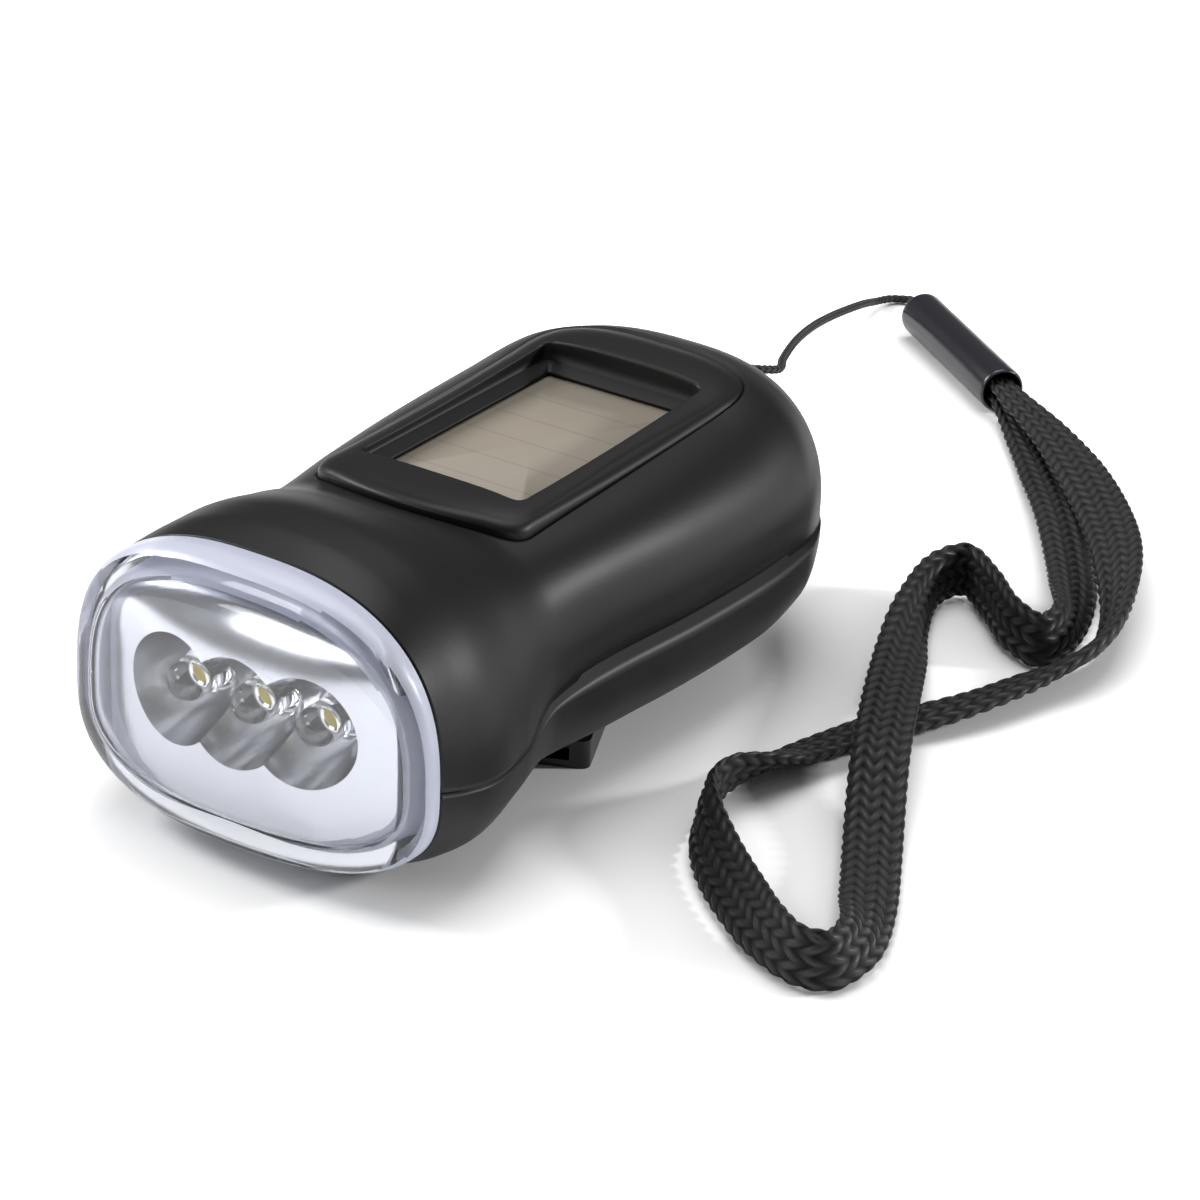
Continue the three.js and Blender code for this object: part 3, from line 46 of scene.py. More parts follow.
# Sizes of the body, repeated from the part's source, in millimetres
BODY_LENGTH = 100.0
BODY_HALF_WIDTH = 26.6
BODY_HEIGHT = 40.2
LENS_REACH = 6.8
LENS_SIDE_REACH = 2.9
WALL = 1.8
SEAT = 0.3
WAIST_DEPTH = 1.2
WAIST_REACH = 4.0
LEDGE_DROP, LEDGE_FADE = 0.35, 0.02
NOSE_START = 0.992
RIM_Y = -(BODY_LENGTH + LENS_REACH) / 2 + LENS_REACH

# Places along the body as shares of its length, with half width, top, underside and seam as shares of its size
ALONG = np.array([0, 0.05, 0.09, 0.18, 0.28, 0.4, 0.55, 0.7, 0.79, 0.85, 0.9, 0.95, 0.985, 1])
WIDTH = np.array([0.969, 0.987, 1, 0.94, 0.861, 0.895, 0.951, 0.977, 0.957, 0.88, 0.748, 0.538, 0.271, 0.06])
TOP = np.array([0.963, 0.995, 0.998, 0.945, 0.863, 0.868, 0.886, 0.915, 0.94, 0.915, 0.866, 0.766, 0.652, 0.537])
UNDER = np.array([0.063, 0.009, 0, 0.04, 0.097, 0.105, 0.105, 0.105, 0.115, 0.135, 0.164, 0.224, 0.323, 0.423])
SEAM = np.array([0.41, 0.375, 0.36, 0.345, 0.395, 0.418, 0.42, 0.425, 0.43, 0.435, 0.438, 0.443, 0.447, 0.45])
TOP_POWER = np.array([2.57, 2.35, 2.3, 2.6, 3.4, 3.6, 3.3, 2.9, 2.77, 2.7, 2.6, 2.2, 2, 2])
UNDER_POWER = np.array([2.75, 2.6, 2.6, 2.6, 3.4, 4.2, 4.2, 4, 3.4, 2.8, 2.6, 2.3, 2, 2])
WAIST = np.array([0, 0, 0, 0.1, 0.55, 0.95, 1, 0.95, 0.6, 0.25, 0.05, 0, 0, 0])
PAD_LIFT = np.array([1, 1, 1, 1, 1, 0.8, 0.6, 0.38, 0.14, 0, 0, 0, 0, 0])


def follow(table, share):
    """Smooth curve through a table: cubic pieces whose slopes are harmonic means of their neighbours."""
    share = np.clip(share, 0, 1)
    step = np.diff(ALONG)
    rise = np.diff(table) / step
    product = rise[:-1] * rise[1:]
    total = rise[:-1] + rise[1:]
    inner = np.where(product > 0, 2 * product / np.where(total == 0, 1, total), 0)
    slope = np.concatenate([[rise[0]], inner, [rise[-1]]])
    i = np.clip(np.searchsorted(ALONG, share, side="right") - 1, 0, len(ALONG) - 2)
    t = (share - ALONG[i]) / step[i]
    ease = t * t * (3 - 2 * t)
    bend = t * (1 - t) ** 2 * slope[i] - t * t * (1 - t) * slope[i + 1]
    return table[i] * (1 - ease) + table[i + 1] * ease + step[i] * bend


def signed_power(value, exponent):
    return np.sign(value) * np.abs(value) ** exponent


def section(share, inset=0.0):
    """Half width, top, underside and seam of the body at shares of its length, drawn in by an inset. The last of
    the tail closes in a quarter circle, sqrt(1 - q^2)."""
    nose = np.sqrt(1 - np.clip((share - NOSE_START) / (1 - NOSE_START), 0, 1) ** 2)
    half = np.maximum(follow(WIDTH, share) * BODY_HALF_WIDTH * nose - inset, 0)
    seam = follow(SEAM, share) * BODY_HEIGHT
    top = np.maximum(seam + (follow(TOP, share) * BODY_HEIGHT - seam) * nose - inset, seam)
    under = np.minimum(seam - (seam - follow(UNDER, share) * BODY_HEIGHT) * nose + inset, seam)
    return half, top, under, seam


def upper_point(share, turn, inset=0.0):
    """Upper body: a superellipse over the seam, tucked in just above it for the fingers."""
    half, top, _, seam = section(share, inset)
    power = follow(TOP_POWER, share)
    z = seam + (top - seam) * signed_power(np.sin(turn), 2 / power)
    full = half * signed_power(np.cos(turn), 2 / power)
    tuck = follow(WAIST, share) * WAIST_DEPTH * np.exp(-((z - seam) / WAIST_REACH) ** 2)
    x = full - np.sign(full) * np.minimum(tuck, np.abs(full) / 2)
    return x, RIM_Y + share * BODY_LENGTH, z


def lower_half(share, inset=0.0):
    """Half width, ledge under the seam, underside and power of the lower body."""
    half, _, under, seam = section(share, inset)
    ledge = np.maximum(seam - LEDGE_DROP * np.clip((1 - share) / LEDGE_FADE, 0, 1), under)
    return half, ledge, under, follow(UNDER_POWER, share)


def lower_point(share, turn, inset=0.0):
    """Lower body: half a superellipse from the ledge under the seam down to the underside."""
    half, ledge, under, power = lower_half(share, inset)
    x = half * signed_power(np.cos(turn), 2 / power)
    return x, RIM_Y + share * BODY_LENGTH, ledge - (ledge - under) * signed_power(np.sin(turn), 2 / power)


def body_top(x, along):
    """Height of the body's top over a place across and along it."""
    half, top, _, seam = section(along / BODY_LENGTH)
    power = follow(TOP_POWER, along / BODY_LENGTH)
    reach = np.minimum(np.abs(x) / half, 1)
    return seam + (top - seam) * (1 - reach ** power) ** (1 / power)


# Meshes from grids of points. An open edge belongs to the rim or an opening within these reaches, in millimetres.
RIM_REACH, EDGE_REACH = 1e-3, 0.2


def mesh_object(name, points, faces):
    mesh = bpy.data.meshes.new(name)
    mesh.from_pydata(points.tolist(), [], faces.tolist())
    mesh.update()
    mesh.polygons.foreach_set("use_smooth", np.ones(len(mesh.polygons), bool))
    piece = bpy.data.objects.new(name, mesh)
    scene.collection.objects.link(piece)
    return piece


def grid_faces(rows, columns, wrap):
    """Quads of a grid of rows by columns, closed round its columns where wrap is true."""
    r, c = np.meshgrid(np.arange(rows - 1), np.arange(columns if wrap else columns - 1), indexing="ij")
    n = (c + 1) % columns
    quads = np.stack([r * columns + c, r * columns + n, (r + 1) * columns + n, (r + 1) * columns + c], -1)
    return quads.reshape(-1, 4)


def rework(piece, steps):
    """Runs steps on a piece's mesh."""
    work = bmesh.new()
    work.from_mesh(piece.data)
    steps(work)
    work.to_mesh(piece.data)
    work.free()
    return piece


def clean(piece, distance=1e-6, outward=True):
    """Merges doubled points and turns the faces outwards."""
    def steps(work):
        bmesh.ops.remove_doubles(work, verts=work.verts, dist=distance)
        bmesh.ops.dissolve_degenerate(work, dist=distance / 2, edges=work.edges)
        if outward:
            bmesh.ops.recalc_face_normals(work, faces=work.faces)

    return rework(piece, steps)


def close_edges(piece, openings):
    """Closes a shell's open edges: the front rim by one flat face, and each opening's outer and inner edge by a wall
    between them. openings gives the distance to each opening's edge."""
    def steps(work):
        def open_edges(inside):
            return [e for e in work.edges if e.is_boundary and all(inside(v.co / MM) for v in e.verts)]

        rim = open_edges(lambda p: abs(p.y - RIM_Y) < RIM_REACH)
        if rim:
            bmesh.ops.holes_fill(work, edges=rim, sides=0)
        for distance in openings:
            edge = open_edges(lambda p: abs(distance(np.array([p]))[0]) < EDGE_REACH)
            bmesh.ops.bridge_loops(work, edges=edge)
        bmesh.ops.recalc_face_normals(work, faces=work.faces)

    return rework(piece, steps)


def surface(name, x, y, z, wrap=False, flip=False):
    """A sheet over a grid given as three arrays in millimetres."""
    x, y, z = np.broadcast_arrays(x, y, z)
    points = np.stack([x, y, z], -1).reshape(-1, 3) * MM
    faces = grid_faces(*x.shape, wrap)
    return clean(mesh_object(name, points, faces[:, ::-1] if flip else faces), outward=False)


def rings(name, rows):
    """A solid over rows of points in millimetres, each row a closed ring."""
    return clean(surface(name, *np.moveaxis(np.asarray(rows), -1, 0), wrap=True))


# Materials
def shader_of(made):
    return made.node_tree.nodes["Principled BSDF"]


def material(name, colour=(0.5, 0.5, 0.5), roughness=0.5, metallic=0.0, **inputs):
    """A Principled material; further sockets by name."""
    made = bpy.data.materials.new(name)
    made.use_nodes = True
    shader = shader_of(made)
    shader.inputs["Base Color"].default_value = (*colour, 1)
    shader.inputs["Roughness"].default_value = roughness
    shader.inputs["Metallic"].default_value = metallic
    for key, value in inputs.items():
        shader.inputs[key.replace("_", " ")].default_value = value
    return made


def node(made, kind, **settings):
    built = made.node_tree.nodes.new(kind)
    for key, value in settings.items():
        if key in {i.name for i in built.inputs}:
            built.inputs[key].default_value = value
        else:
            setattr(built, key, value)
    return built


def wire(made, output, socket):
    made.node_tree.links.new(output, socket)


def join(made, source, output, target, socket):
    wire(made, source.outputs[output], target.inputs[socket])


def pattern(made, kind, **settings):
    """A pattern on object coordinates."""
    built = node(made, kind, **settings)
    join(made, node(made, "ShaderNodeTexCoord"), "Object", built, "Vector")
    return built


def emboss(made, source, output, height, strength):
    """Bumps the surface by a pattern, its height in millimetres."""
    relief = node(made, "ShaderNodeBump", Strength=strength, Distance=height * MM)
    join(made, source, output, relief, "Height")
    join(made, relief, "Normal", shader_of(made), "Normal")


def bump(made, scale, height, detail=3.0, strength=1.0):
    """Fine moulded grain: a noise, its height in millimetres."""
    emboss(made, pattern(made, "ShaderNodeTexNoise", Scale=scale, Detail=detail), "Fac", height, strength)


def maths(made, operation, a, b=None, clamp=False):
    step = node(made, "ShaderNodeMath", operation=operation, use_clamp=clamp)
    for k, value in enumerate((a, b)):
        if isinstance(value, (int, float)):
            step.inputs[k].default_value = value
        elif value is not None:
            wire(made, value, step.inputs[k])
    return step.outputs[0]


def colour_by(made, factor, first, second):
    """Base colour between two colours by a factor."""
    mix = node(made, "ShaderNodeMix", data_type="RGBA")
    wire(made, factor, mix.inputs[0])
    for socket, value in ((6, first), (7, second)):
        mix.inputs[socket].default_value = (*value, 1)
    wire(made, mix.outputs[2], shader_of(made).inputs["Base Color"])


def paint(piece, made):
    piece.data.materials.clear()
    piece.data.materials.append(made)
    return piece


# Camera: a long lens from the front right, above, its aim and distance read off the photograph
FOCAL_PIXELS, FRAME_PIXELS, SENSOR_WIDTH = 4538, 1200, 36
AIM_RIGHT, AIM_UP, EYE_DISTANCE, EYE_LIFT = 340.3, 100.5, 521.5, 20
turn, rise = math.radians(37.85), math.radians(27.5)
back = Vector((math.sin(turn) * math.cos(rise), -math.cos(turn) * math.cos(rise), math.sin(rise)))
right = Vector((math.cos(turn), math.sin(turn), 0))
up = back.cross(right)
aim = (back * -FOCAL_PIXELS + right * AIM_RIGHT + up * AIM_UP).normalized()
eye = Vector((0, RIM_Y, EYE_LIFT)) + back * EYE_DISTANCE
across = aim.cross(up).normalized()
above = across.cross(aim).normalized()
camera = bpy.data.objects.new("camera", bpy.data.cameras.new("camera"))
camera.data.lens = FOCAL_PIXELS / FRAME_PIXELS * SENSOR_WIDTH
camera.data.sensor_width = SENSOR_WIDTH
camera.matrix_world = Matrix.Translation(eye * MM) @ Matrix((across, above, -aim)).transposed().to_4x4()
scene.collection.objects.link(camera)
scene.camera = camera


# Cord and strap: across, behind the tail and height, and for the strap its lean in degrees
CORD_RADIUS, CORD_STRANDS, CORD_CROSSING, CORD_RELIEF = 0.6, 6, 1.1, 0.14
CORD_STEP, CORD_SIDES = 0.14, 36
CORD_HOLE = np.array([0, -2.4, 26.009])
CORD_TILT = math.radians(38)


def along_hole(reach):
    return CORD_HOLE + [0, reach * math.cos(CORD_TILT), reach * math.sin(CORD_TILT)]


CORD_ROUTE = np.array([
    along_hole(-4.06), along_hole(-1.42), along_hole(1.2),
    [1, 0.8, 27.5], [2.6, 3.6, 27], [2.9, 7, 26], [0.3, 12.3, 24.9], [-5.1, 24.3, 22], [-11.5, 39.6, 17.5],
    [-17.7, 55.7, 12.3], [-23.1, 71.5, 7.2], [-26.8, 81.5, 3.6], [-28.6, 87.4, 1.5], [-28.2, 91.2, 0.8],
    [-25.8, 92.7, 0.8], [-23.6, 91.4, 1.4], [-22, 88.7, 2.4], [-20.6, 86, 3.2], [-18.7, 83.7, 3.4],
    [-16.3, 81.9, 3.4]])
STRAP_ROUTE = np.array([
    [2.4, 68, 2.5, 0], [4.6, 66.3, 2.5, 0], [7.6, 63.8, 2.1, 0], [14.3, 57, 1.4, 0], [23.1, 46.6, 1.4, 4],
    [31.4, 35.7, 1.8, 10], [38.7, 24.9, 2, 14], [44.7, 14.6, 2.7, 26], [49.6, 2.8, 4, 74],
    [49, -1.9, 3.9, 84], [43.9, -0.1, 4, 80], [37.4, 5.8, 4, 78], [31, 10.3, 3.9, 84], [29.4, 5.5, 4, 80],
    [32, -4.7, 3.8, 58], [36.8, -15.8, 3.6, 24], [43.8, -30.7, 4.8, 6], [49.1, -41.6, 4.9, 6],
    [53.5, -49.9, 3.1, 6], [58.3, -58.6, 1.9, 10], [64.9, -70.8, 2.4, 20], [69.3, -80.7, 3.8, 55],
    [69.2, -86.2, 3.9, 84], [66.1, -87.5, 4, 82], [60.4, -85.1, 3.9, 64], [53.5, -79.9, 3.5, 45],
    [46.7, -74.1, 3.5, 45], [41.5, -68.6, 3.9, 62], [38, -62.7, 3.9, 84], [37.2, -57.5, 4, 80],
    [37.9, -52.2, 3.4, 44], [38.8, -45.5, 2.2, 18], [41, -37.5, 1.7, 8], [43.5, -29.6, 1.5, 4],
    [47, -23.4, 1.8, 10], [49.9, -17.3, 2.2, 18], [52.5, -9.2, 2.5, 22], [54.8, -3.2, 3.3, 40],
    [55.4, 3.4, 3.9, 60], [52.4, 12.8, 4.3, 56], [46.2, 24.1, 4.9, 34], [36.6, 37.4, 4.2, 18],
    [27, 48, 4, 6], [16.9, 57.2, 3.9, 0], [8.4, 63.2, 4.2, 0], [4.6, 66.3, 4.3, 0], [2.4, 68, 4.3, 0]])
TAIL = np.array([0, RIM_Y + BODY_LENGTH, 0])
STRAP_HALF_WIDTH, STRAP_HALF_THICKNESS, STRAP_POWER = 3.7, 1.0, 2.6
STRAP_STRANDS, STRAP_CROSSING, STRAP_RELIEF = 12, 2.4, 0.5
STRAP_STEP, STRAP_SIDES = 0.355, 84
STRAP_END_SHARES = np.array([0.53, 0.53, 0.64, 0.85, 1])


def lengths(line):
    """Way along a line at each of its points."""
    return np.concatenate([[0], np.cumsum(np.linalg.norm(np.diff(line, axis=0), axis=1))])


def even_curve(route, spacing):
    """Centripetal Catmull-Rom curve through the route's points, at even distances along it, with the parameter and
    the length at each."""
    points = route[:, :3] + TAIL
    points = np.vstack([2 * points[0] - points[1], points, 2 * points[-1] - points[-2]])
    spot = np.linspace(0, len(route) - 1, 8000)
    i = np.clip(np.floor(spot).astype(int), 0, len(route) - 2)
    t = (spot - i)[:, None]
    p = [points[i + k] for k in range(4)]
    d = [np.maximum(np.sum((p[k + 1] - p[k]) ** 2, 1), 1e-9)[:, None] ** 0.25 for k in range(3)]
    start = ((p[1] - p[0]) / d[0] - (p[2] - p[0]) / (d[0] + d[1]) + (p[2] - p[1]) / d[1]) * d[1]
    end = ((p[2] - p[1]) / d[1] - (p[3] - p[1]) / (d[1] + d[2]) + (p[3] - p[2]) / d[2]) * d[1]
    second = -3 * p[1] + 3 * p[2] - 2 * start - end
    third = 2 * p[1] - 2 * p[2] + start + end
    fine = p[1] + start * t + second * t ** 2 + third * t ** 3
    length = lengths(fine)
    along = np.linspace(0, length[-1], int(round(length[-1] / spacing)) + 1)
    line = np.stack([np.interp(along, length, fine[:, k]) for k in range(3)], -1)
    return line, np.interp(along, length, spot), along


def smooth(values, reach):
    """Running mean over a number of rows, ends held."""
    kernel = np.ones(2 * reach + 1) / (2 * reach + 1)
    padded = np.pad(values, (reach, reach), mode="edge")
    return np.convolve(padded, kernel, mode="valid")


def unit(vectors):
    return vectors / np.maximum(np.linalg.norm(vectors, axis=-1, keepdims=True), 1e-12)


def full_turn(count):
    return np.linspace(0, 2 * np.pi, count, endpoint=False)


def even_loop(points, count):
    """A closed line of points, stepped evenly."""
    closed = np.vstack([points, points[:1]])
    length = lengths(closed)
    spots = np.linspace(0, length[-1], count, endpoint=False)
    return np.stack([np.interp(spots, length, closed[:, k]) for k in range(closed.shape[1])], -1)


def plait(around, along):
    """Height from 0 to 1 of a plait of strands two over, two under. a = around + along and b = around - along
    count its two sets of strands; strand height is sqrt(sin(pi a)) cos^2(pi d / 4), d the way from where it is on
    top, and the higher set shows, so the strands lean left and right in columns."""
    def strands(own, other, start):
        index = np.floor(own)
        crown = np.sqrt(np.maximum(np.sin(np.pi * (own - index)), 0))
        way = (other + 0.5 + index - start) % 4 - 2
        return crown * np.cos(np.pi / 4 * way) ** 2

    a, b = around + along, around - along
    return np.maximum(strands(a, b, 0), strands(b, a, 2))


def plaited(name, line, points, height):
    """A tube over rings of points, its ends drawn to the line's, that keeps the plait's height at each point for the
    thread's painted shade between its strands."""
    first, last = (np.repeat(line[k:k + 1, None], points.shape[1], 1) for k in (0, len(line) - 1))
    points = np.concatenate([first, points, last])
    piece = mesh_object(name, points.reshape(-1, 3) * MM, grid_faces(*points.shape[:2], True))
    layer = piece.data.attributes.new("plait", "FLOAT", "POINT")
    layer.data.foreach_set("value", np.pad(height, ((1, 1), (0, 0))).astype(np.float32).ravel())
    return clean(piece)


def braided_cord():
    """Tube round the cord's route, its skin drawn in by relief (1 - plait)."""
    line, _, along = even_curve(CORD_ROUTE, CORD_STEP)
    ahead = unit(np.gradient(line, axis=0))
    side = unit(np.cross(ahead, [0, 0, 1.0]))
    top = np.cross(side, ahead)
    u = full_turn(CORD_SIDES)[None, :]
    height = plait(np.arange(CORD_SIDES)[None, :] * CORD_STRANDS / CORD_SIDES, along[:, None] / CORD_CROSSING)
    radius = CORD_RADIUS - CORD_RELIEF * (1 - height)
    around = side[:, None] * np.cos(u)[..., None] + top[:, None] * np.sin(u)[..., None]
    return plaited("braided_cord", line, line[:, None] + around * radius[..., None], height), line


def braided_strap():
    """Flattened tube along the strap's route. The section is a superellipse, turned by the lean, and its skin is
    drawn in by relief (1 - plait)."""
    line, spot, along = even_curve(STRAP_ROUTE, STRAP_STEP)
    last = len(STRAP_ROUTE) - 1
    lean = np.radians(smooth(np.interp(spot, np.arange(last + 1), STRAP_ROUTE[:, 3]), 12))
    from_end = np.minimum(spot, last - spot)
    taper = smooth(np.interp(from_end, np.arange(5), STRAP_END_SHARES), 5)
    ahead = unit(np.gradient(line, axis=0))
    flat = unit(np.stack([ahead[:, 1], -ahead[:, 0], np.zeros(len(line))], -1))
    across = flat * np.cos(lean)[:, None] + np.array([0, 0, 1.0]) * np.sin(lean)[:, None]
    across = unit(across - ahead * np.sum(across * ahead, 1, keepdims=True))
    face = np.cross(across, ahead)
    u = full_turn(STRAP_SIDES)
    outline = even_loop(np.stack([STRAP_HALF_WIDTH * signed_power(np.cos(u), 2 / STRAP_POWER),
                                  STRAP_HALF_THICKNESS * signed_power(np.sin(u), 2 / STRAP_POWER)], -1), STRAP_SIDES)
    lap = np.arange(STRAP_SIDES)[None, :] * STRAP_STRANDS / STRAP_SIDES
    height = plait(lap, along[:, None] / STRAP_CROSSING)
    outward = unit(outline * [1 / STRAP_HALF_WIDTH ** 2, 1 / STRAP_HALF_THICKNESS ** 2])
    drawn = STRAP_RELIEF * (1 - height)
    wide = outline[None, :, 0] * taper[:, None] - drawn * outward[None, :, 0]
    deep = outline[None, :, 1] * np.sqrt(taper)[:, None] - drawn * outward[None, :, 1]
    points = line[:, None] + across[:, None] * wide[..., None] + face[:, None] * deep[..., None]
    return plaited("braided_strap", line, points, height), line


cord_piece, cord_line = braided_cord()
strap_piece, strap_line = braided_strap()


def line_length(line):
    return float(np.sum(np.linalg.norm(np.diff(line, axis=0), axis=1)))


def lathe(name, profile, sides=64):
    """A profile of radius and distance turned about X, from its first point to its last."""
    profile = np.array(profile, float)
    u = full_turn(sides)[None, :]
    r, x = profile[:, :1], profile[:, 1:]
    return clean(surface(name, x + 0 * u, r * np.cos(u), r * np.sin(u), wrap=True))


# Moulded sleeve over the cord and the strap's two ends: radius and distance from its front
SLEEVE_LIFT = 3.4
SLEEVE_PROFILE = [
    [0, 4], [0.9, 4], [0.9, 0.6], [1.1, 0.15], [1.4, 0.02], [1.9, 0], [2.6, 0], [2.9, 0.04], [3.1, 0.16],
    [3.24, 0.36], [3.3, 0.7], [3.3, 1.4], [3.3, 8], [3.3, 15], [3.3, 22], [3.3, 29.4], [3.26, 29.7],
    [3.16, 29.9], [3.0, 30], [2.86, 29.92], [2.8, 29.7], [2.8, 26], [0, 26]]
foot = CORD_ROUTE[-2] + TAIL
toe = STRAP_ROUTE[1, :3] + TAIL
sleeve_turn = math.atan2(toe[1] - foot[1], toe[0] - foot[0])
sleeve = lathe("moulded_sleeve", SLEEVE_PROFILE, 96)
sleeve_foot = Matrix.Translation(Vector((foot[0], foot[1], SLEEVE_LIFT)) * MM)
sleeve.data.transform(sleeve_foot @ Matrix.Rotation(sleeve_turn, 4, "Z"))


def thread_material(name, gap_shade, crown):
    """Nylon thread: painted shade, near black and duller, between its strands; its own colour, smoother, on their
    crowns, with fine filaments.
    """
    made = material(name, crown, 0.5, Specular_IOR_Level=0.4)
    height = node(made, "ShaderNodeAttribute", attribute_name="plait")
    filaments = pattern(made, "ShaderNodeTexNoise", Scale=3800.0, Detail=3.0)
    # painted shade: low in the plait, between the strands, the colour falls towards near black
    rise = maths(made, "POWER", height.outputs["Fac"], 1.9)
    share = maths(made, "MULTIPLY", rise, maths(made, "ADD", filaments.outputs["Fac"], 0.45), clamp=True)
    colour_by(made, share, gap_shade, crown)
    rough = maths(made, "SUBTRACT", 0.9, maths(made, "MULTIPLY", rise, 0.5))
    wire(made, rough, shader_of(made).inputs["Roughness"])
    emboss(made, filaments, "Fac", 0.05, 0.7)
    return made


# first colour: painted shade between the strands; second: the thread's own colour
webbing = thread_material("plaited nylon", (0.0003, 0.0003, 0.0004), (0.024, 0.0225, 0.025))
sleeve_plastic = material("smoky black plastic", (0.011, 0.0095, 0.014), 0.27, Specular_IOR_Level=0.55)
bump(sleeve_plastic, 260, 0.03, 2.0, 0.35)
paint(cord_piece, webbing)
paint(strap_piece, webbing)
paint(sleeve, sleeve_plastic)
for piece, cad_node in [(cord_piece, "wrist_cord"), (strap_piece, "wrist_strap"), (sleeve, "cord_sleeve")]:
    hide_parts(cad_node)
    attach(piece, "housing")
line_length(cord_line) * MM
line_length(strap_line) * MM


# Shells
TAIL_SPREAD = 0.06


def spread(q):
    """Share of the body's length at an even station q: stations crowd towards the tail."""
    rest = 1 - q
    return 1 - rest ** 2 * (1 + TAIL_SPREAD) / (rest + TAIL_SPREAD)


def station(share):
    """The even station of a share, the inverse of spread."""
    h, k = 1 - np.asarray(share, float), 1 + TAIL_SPREAD
    return 1 - (h + np.sqrt(h * h + 4 * k * TAIL_SPREAD * h)) / (2 * k)


def quadratic(p, q, r, count):
    t = np.linspace(0, 1, count, endpoint=False)[:, None]
    p, q, r = (np.array(v, float) for v in (p, q, r))
    return p * (1 - t) ** 2 + 2 * q * t * (1 - t) + r * t * t


def rounded_box(half, low, high, bends, bend_steps, side_steps, count):
    """A closed line round a box, stepped evenly. Each corner's bend is how far it reaches along its two sides."""
    corners = np.array([(-half, low), (half, low), (half, high), (-half, high)], float)
    pieces = []
    for k in range(4):
        here, before, after = corners[k], corners[k - 1], corners[(k + 1) % 4]
        start = here + unit(before - here) * bends[k]
        end = here + unit(after - here) * bends[k]
        stop = after + unit(here - after) * bends[(k + 1) % 4]
        pieces += [quadratic(start, here, end, bend_steps), quadratic(end, (end + stop) / 2, stop, side_steps)]
    return even_loop(np.vstack(pieces), count)


# Solar frame's outline, grown by a margin
PAD_FRONT, PAD_REAR = 28.0, 83.5
PAD_HALF_FRONT, PAD_HALF_REAR = 15.2, 15.5
PAD_CORNER_FRONT, PAD_CORNER_REAR = 4.0, 9.0
PAD_BOW, PAD_LIFT_HEIGHT = 2.2, 1.8
FINE = 4000


def pad_outline(margin, count):
    front, rear = RIM_Y + PAD_FRONT - margin, RIM_Y + PAD_REAR + margin
    f, r = PAD_HALF_FRONT + margin, PAD_HALF_REAR + margin
    cf, cr = PAD_CORNER_FRONT + margin, PAD_CORNER_REAR + margin
    side = [((f - cf, front), (f, front + PAD_BOW / 2), (f, front + cf), 60),
            ((f, front + cf), ((f + r) / 2, (front + cf + rear - cr) / 2), (r, rear - cr), 120),
            ((r, rear - cr), (r, rear), (r - cr, rear), 60)]
    other = [(*(np.multiply(point, (-1, 1)) for point in (c, b, a)), n) for a, b, c, n in side[::-1]]
    front_edge = ((cf - f, front), (0, front - 2 * PAD_BOW), (f - cf, front), 120)
    rear_edge = ((r - cr, rear), (0, rear), (cr - r, rear), 60)
    return even_loop(np.vstack([quadratic(*line) for line in (front_edge, *side, rear_edge, *other)]), count)


def opening(points, faces, distance, nearest):
    """Cuts an opening in a grid: corners just inside its edge move onto it, and faces inside it go.
    distance is negative inside, and nearest gives the place on the edge."""
    inside = distance(points) < 0
    flags = inside[faces]
    edge = np.zeros(len(points), bool)
    edge[faces[flags.any(1) & ~flags.all(1)].ravel()] = True
    edge &= inside
    points[edge] = nearest(points[edge])
    return points, faces[~flags.all(1)]


# Openings: the button's in the left side, and round ones along an axis. Points past these reaches are far off.
SWITCH_ALONG, SWITCH_LIFT = 52.0, 23.4
BUTTON_LENGTH, BUTTON_HEIGHT = 11.4, 6.2
LEFT_SIDE, TUBE_REACH, FAR_OFF = 10, 12, 9.0
CORD_OPENING = 0.95


def stadium(grow):
    """Distance to the button's rounded outline, and its nearest place, on the left side."""
    middle = np.array([RIM_Y + SWITCH_ALONG, SWITCH_LIFT])
    reach, radius = (BUTTON_LENGTH - BUTTON_HEIGHT) / 2, BUTTON_HEIGHT / 2 + grow

    def split(points):
        core = middle + np.clip((points[:, 1:] - middle) * [1, 0], -reach, reach)
        return core, points[:, 1:] - core

    def distance(points):
        return np.where(points[:, 0] < -LEFT_SIDE, np.linalg.norm(split(points)[1], axis=1) - radius, FAR_OFF)

    def nearest(points):
        core, off = split(points)
        return np.column_stack([points[:, 0], core + unit(off) * radius])

    return distance, nearest


def tube_opening(centre, axis, radius):
    """Distance to a round opening about an axis, and its nearest place."""
    axis = unit(np.array(axis, float))

    def split(points):
        along = (points - centre) @ axis
        return points - centre - along[:, None] * axis, along

    def distance(points):
        off, along = split(points)
        return np.where(np.abs(along) < TUBE_REACH, np.linalg.norm(off, axis=1) - radius, FAR_OFF)

    def nearest(points):
        off, along = split(points)
        return centre + along[:, None] * axis + unit(off) * radius

    return distance, nearest


# How far the upper shell's columns follow even bearings instead of even steps, and how near points are merged
BEARING_SHARE, MERGE_SHELLS = 0.55, 4e-6


def off_tail(points):
    """Draws a skin's far end in by the wall."""
    x, y, z = points
    return x, RIM_Y + (y - RIM_Y) * ((BODY_LENGTH - WALL) / BODY_LENGTH), z


def cut_open(name, x, y, z, openings):
    """A shell over a grid, with its openings cut, merged and closed."""
    shape = np.stack([x, y, z], -1).reshape(-1, 3), grid_faces(*x.shape, True)
    for hole in openings:
        shape = opening(*shape, *hole)
    piece = clean(mesh_object(name, shape[0] * MM, shape[1]), MERGE_SHELLS)
    return close_edges(piece, [distance for distance, _ in openings])


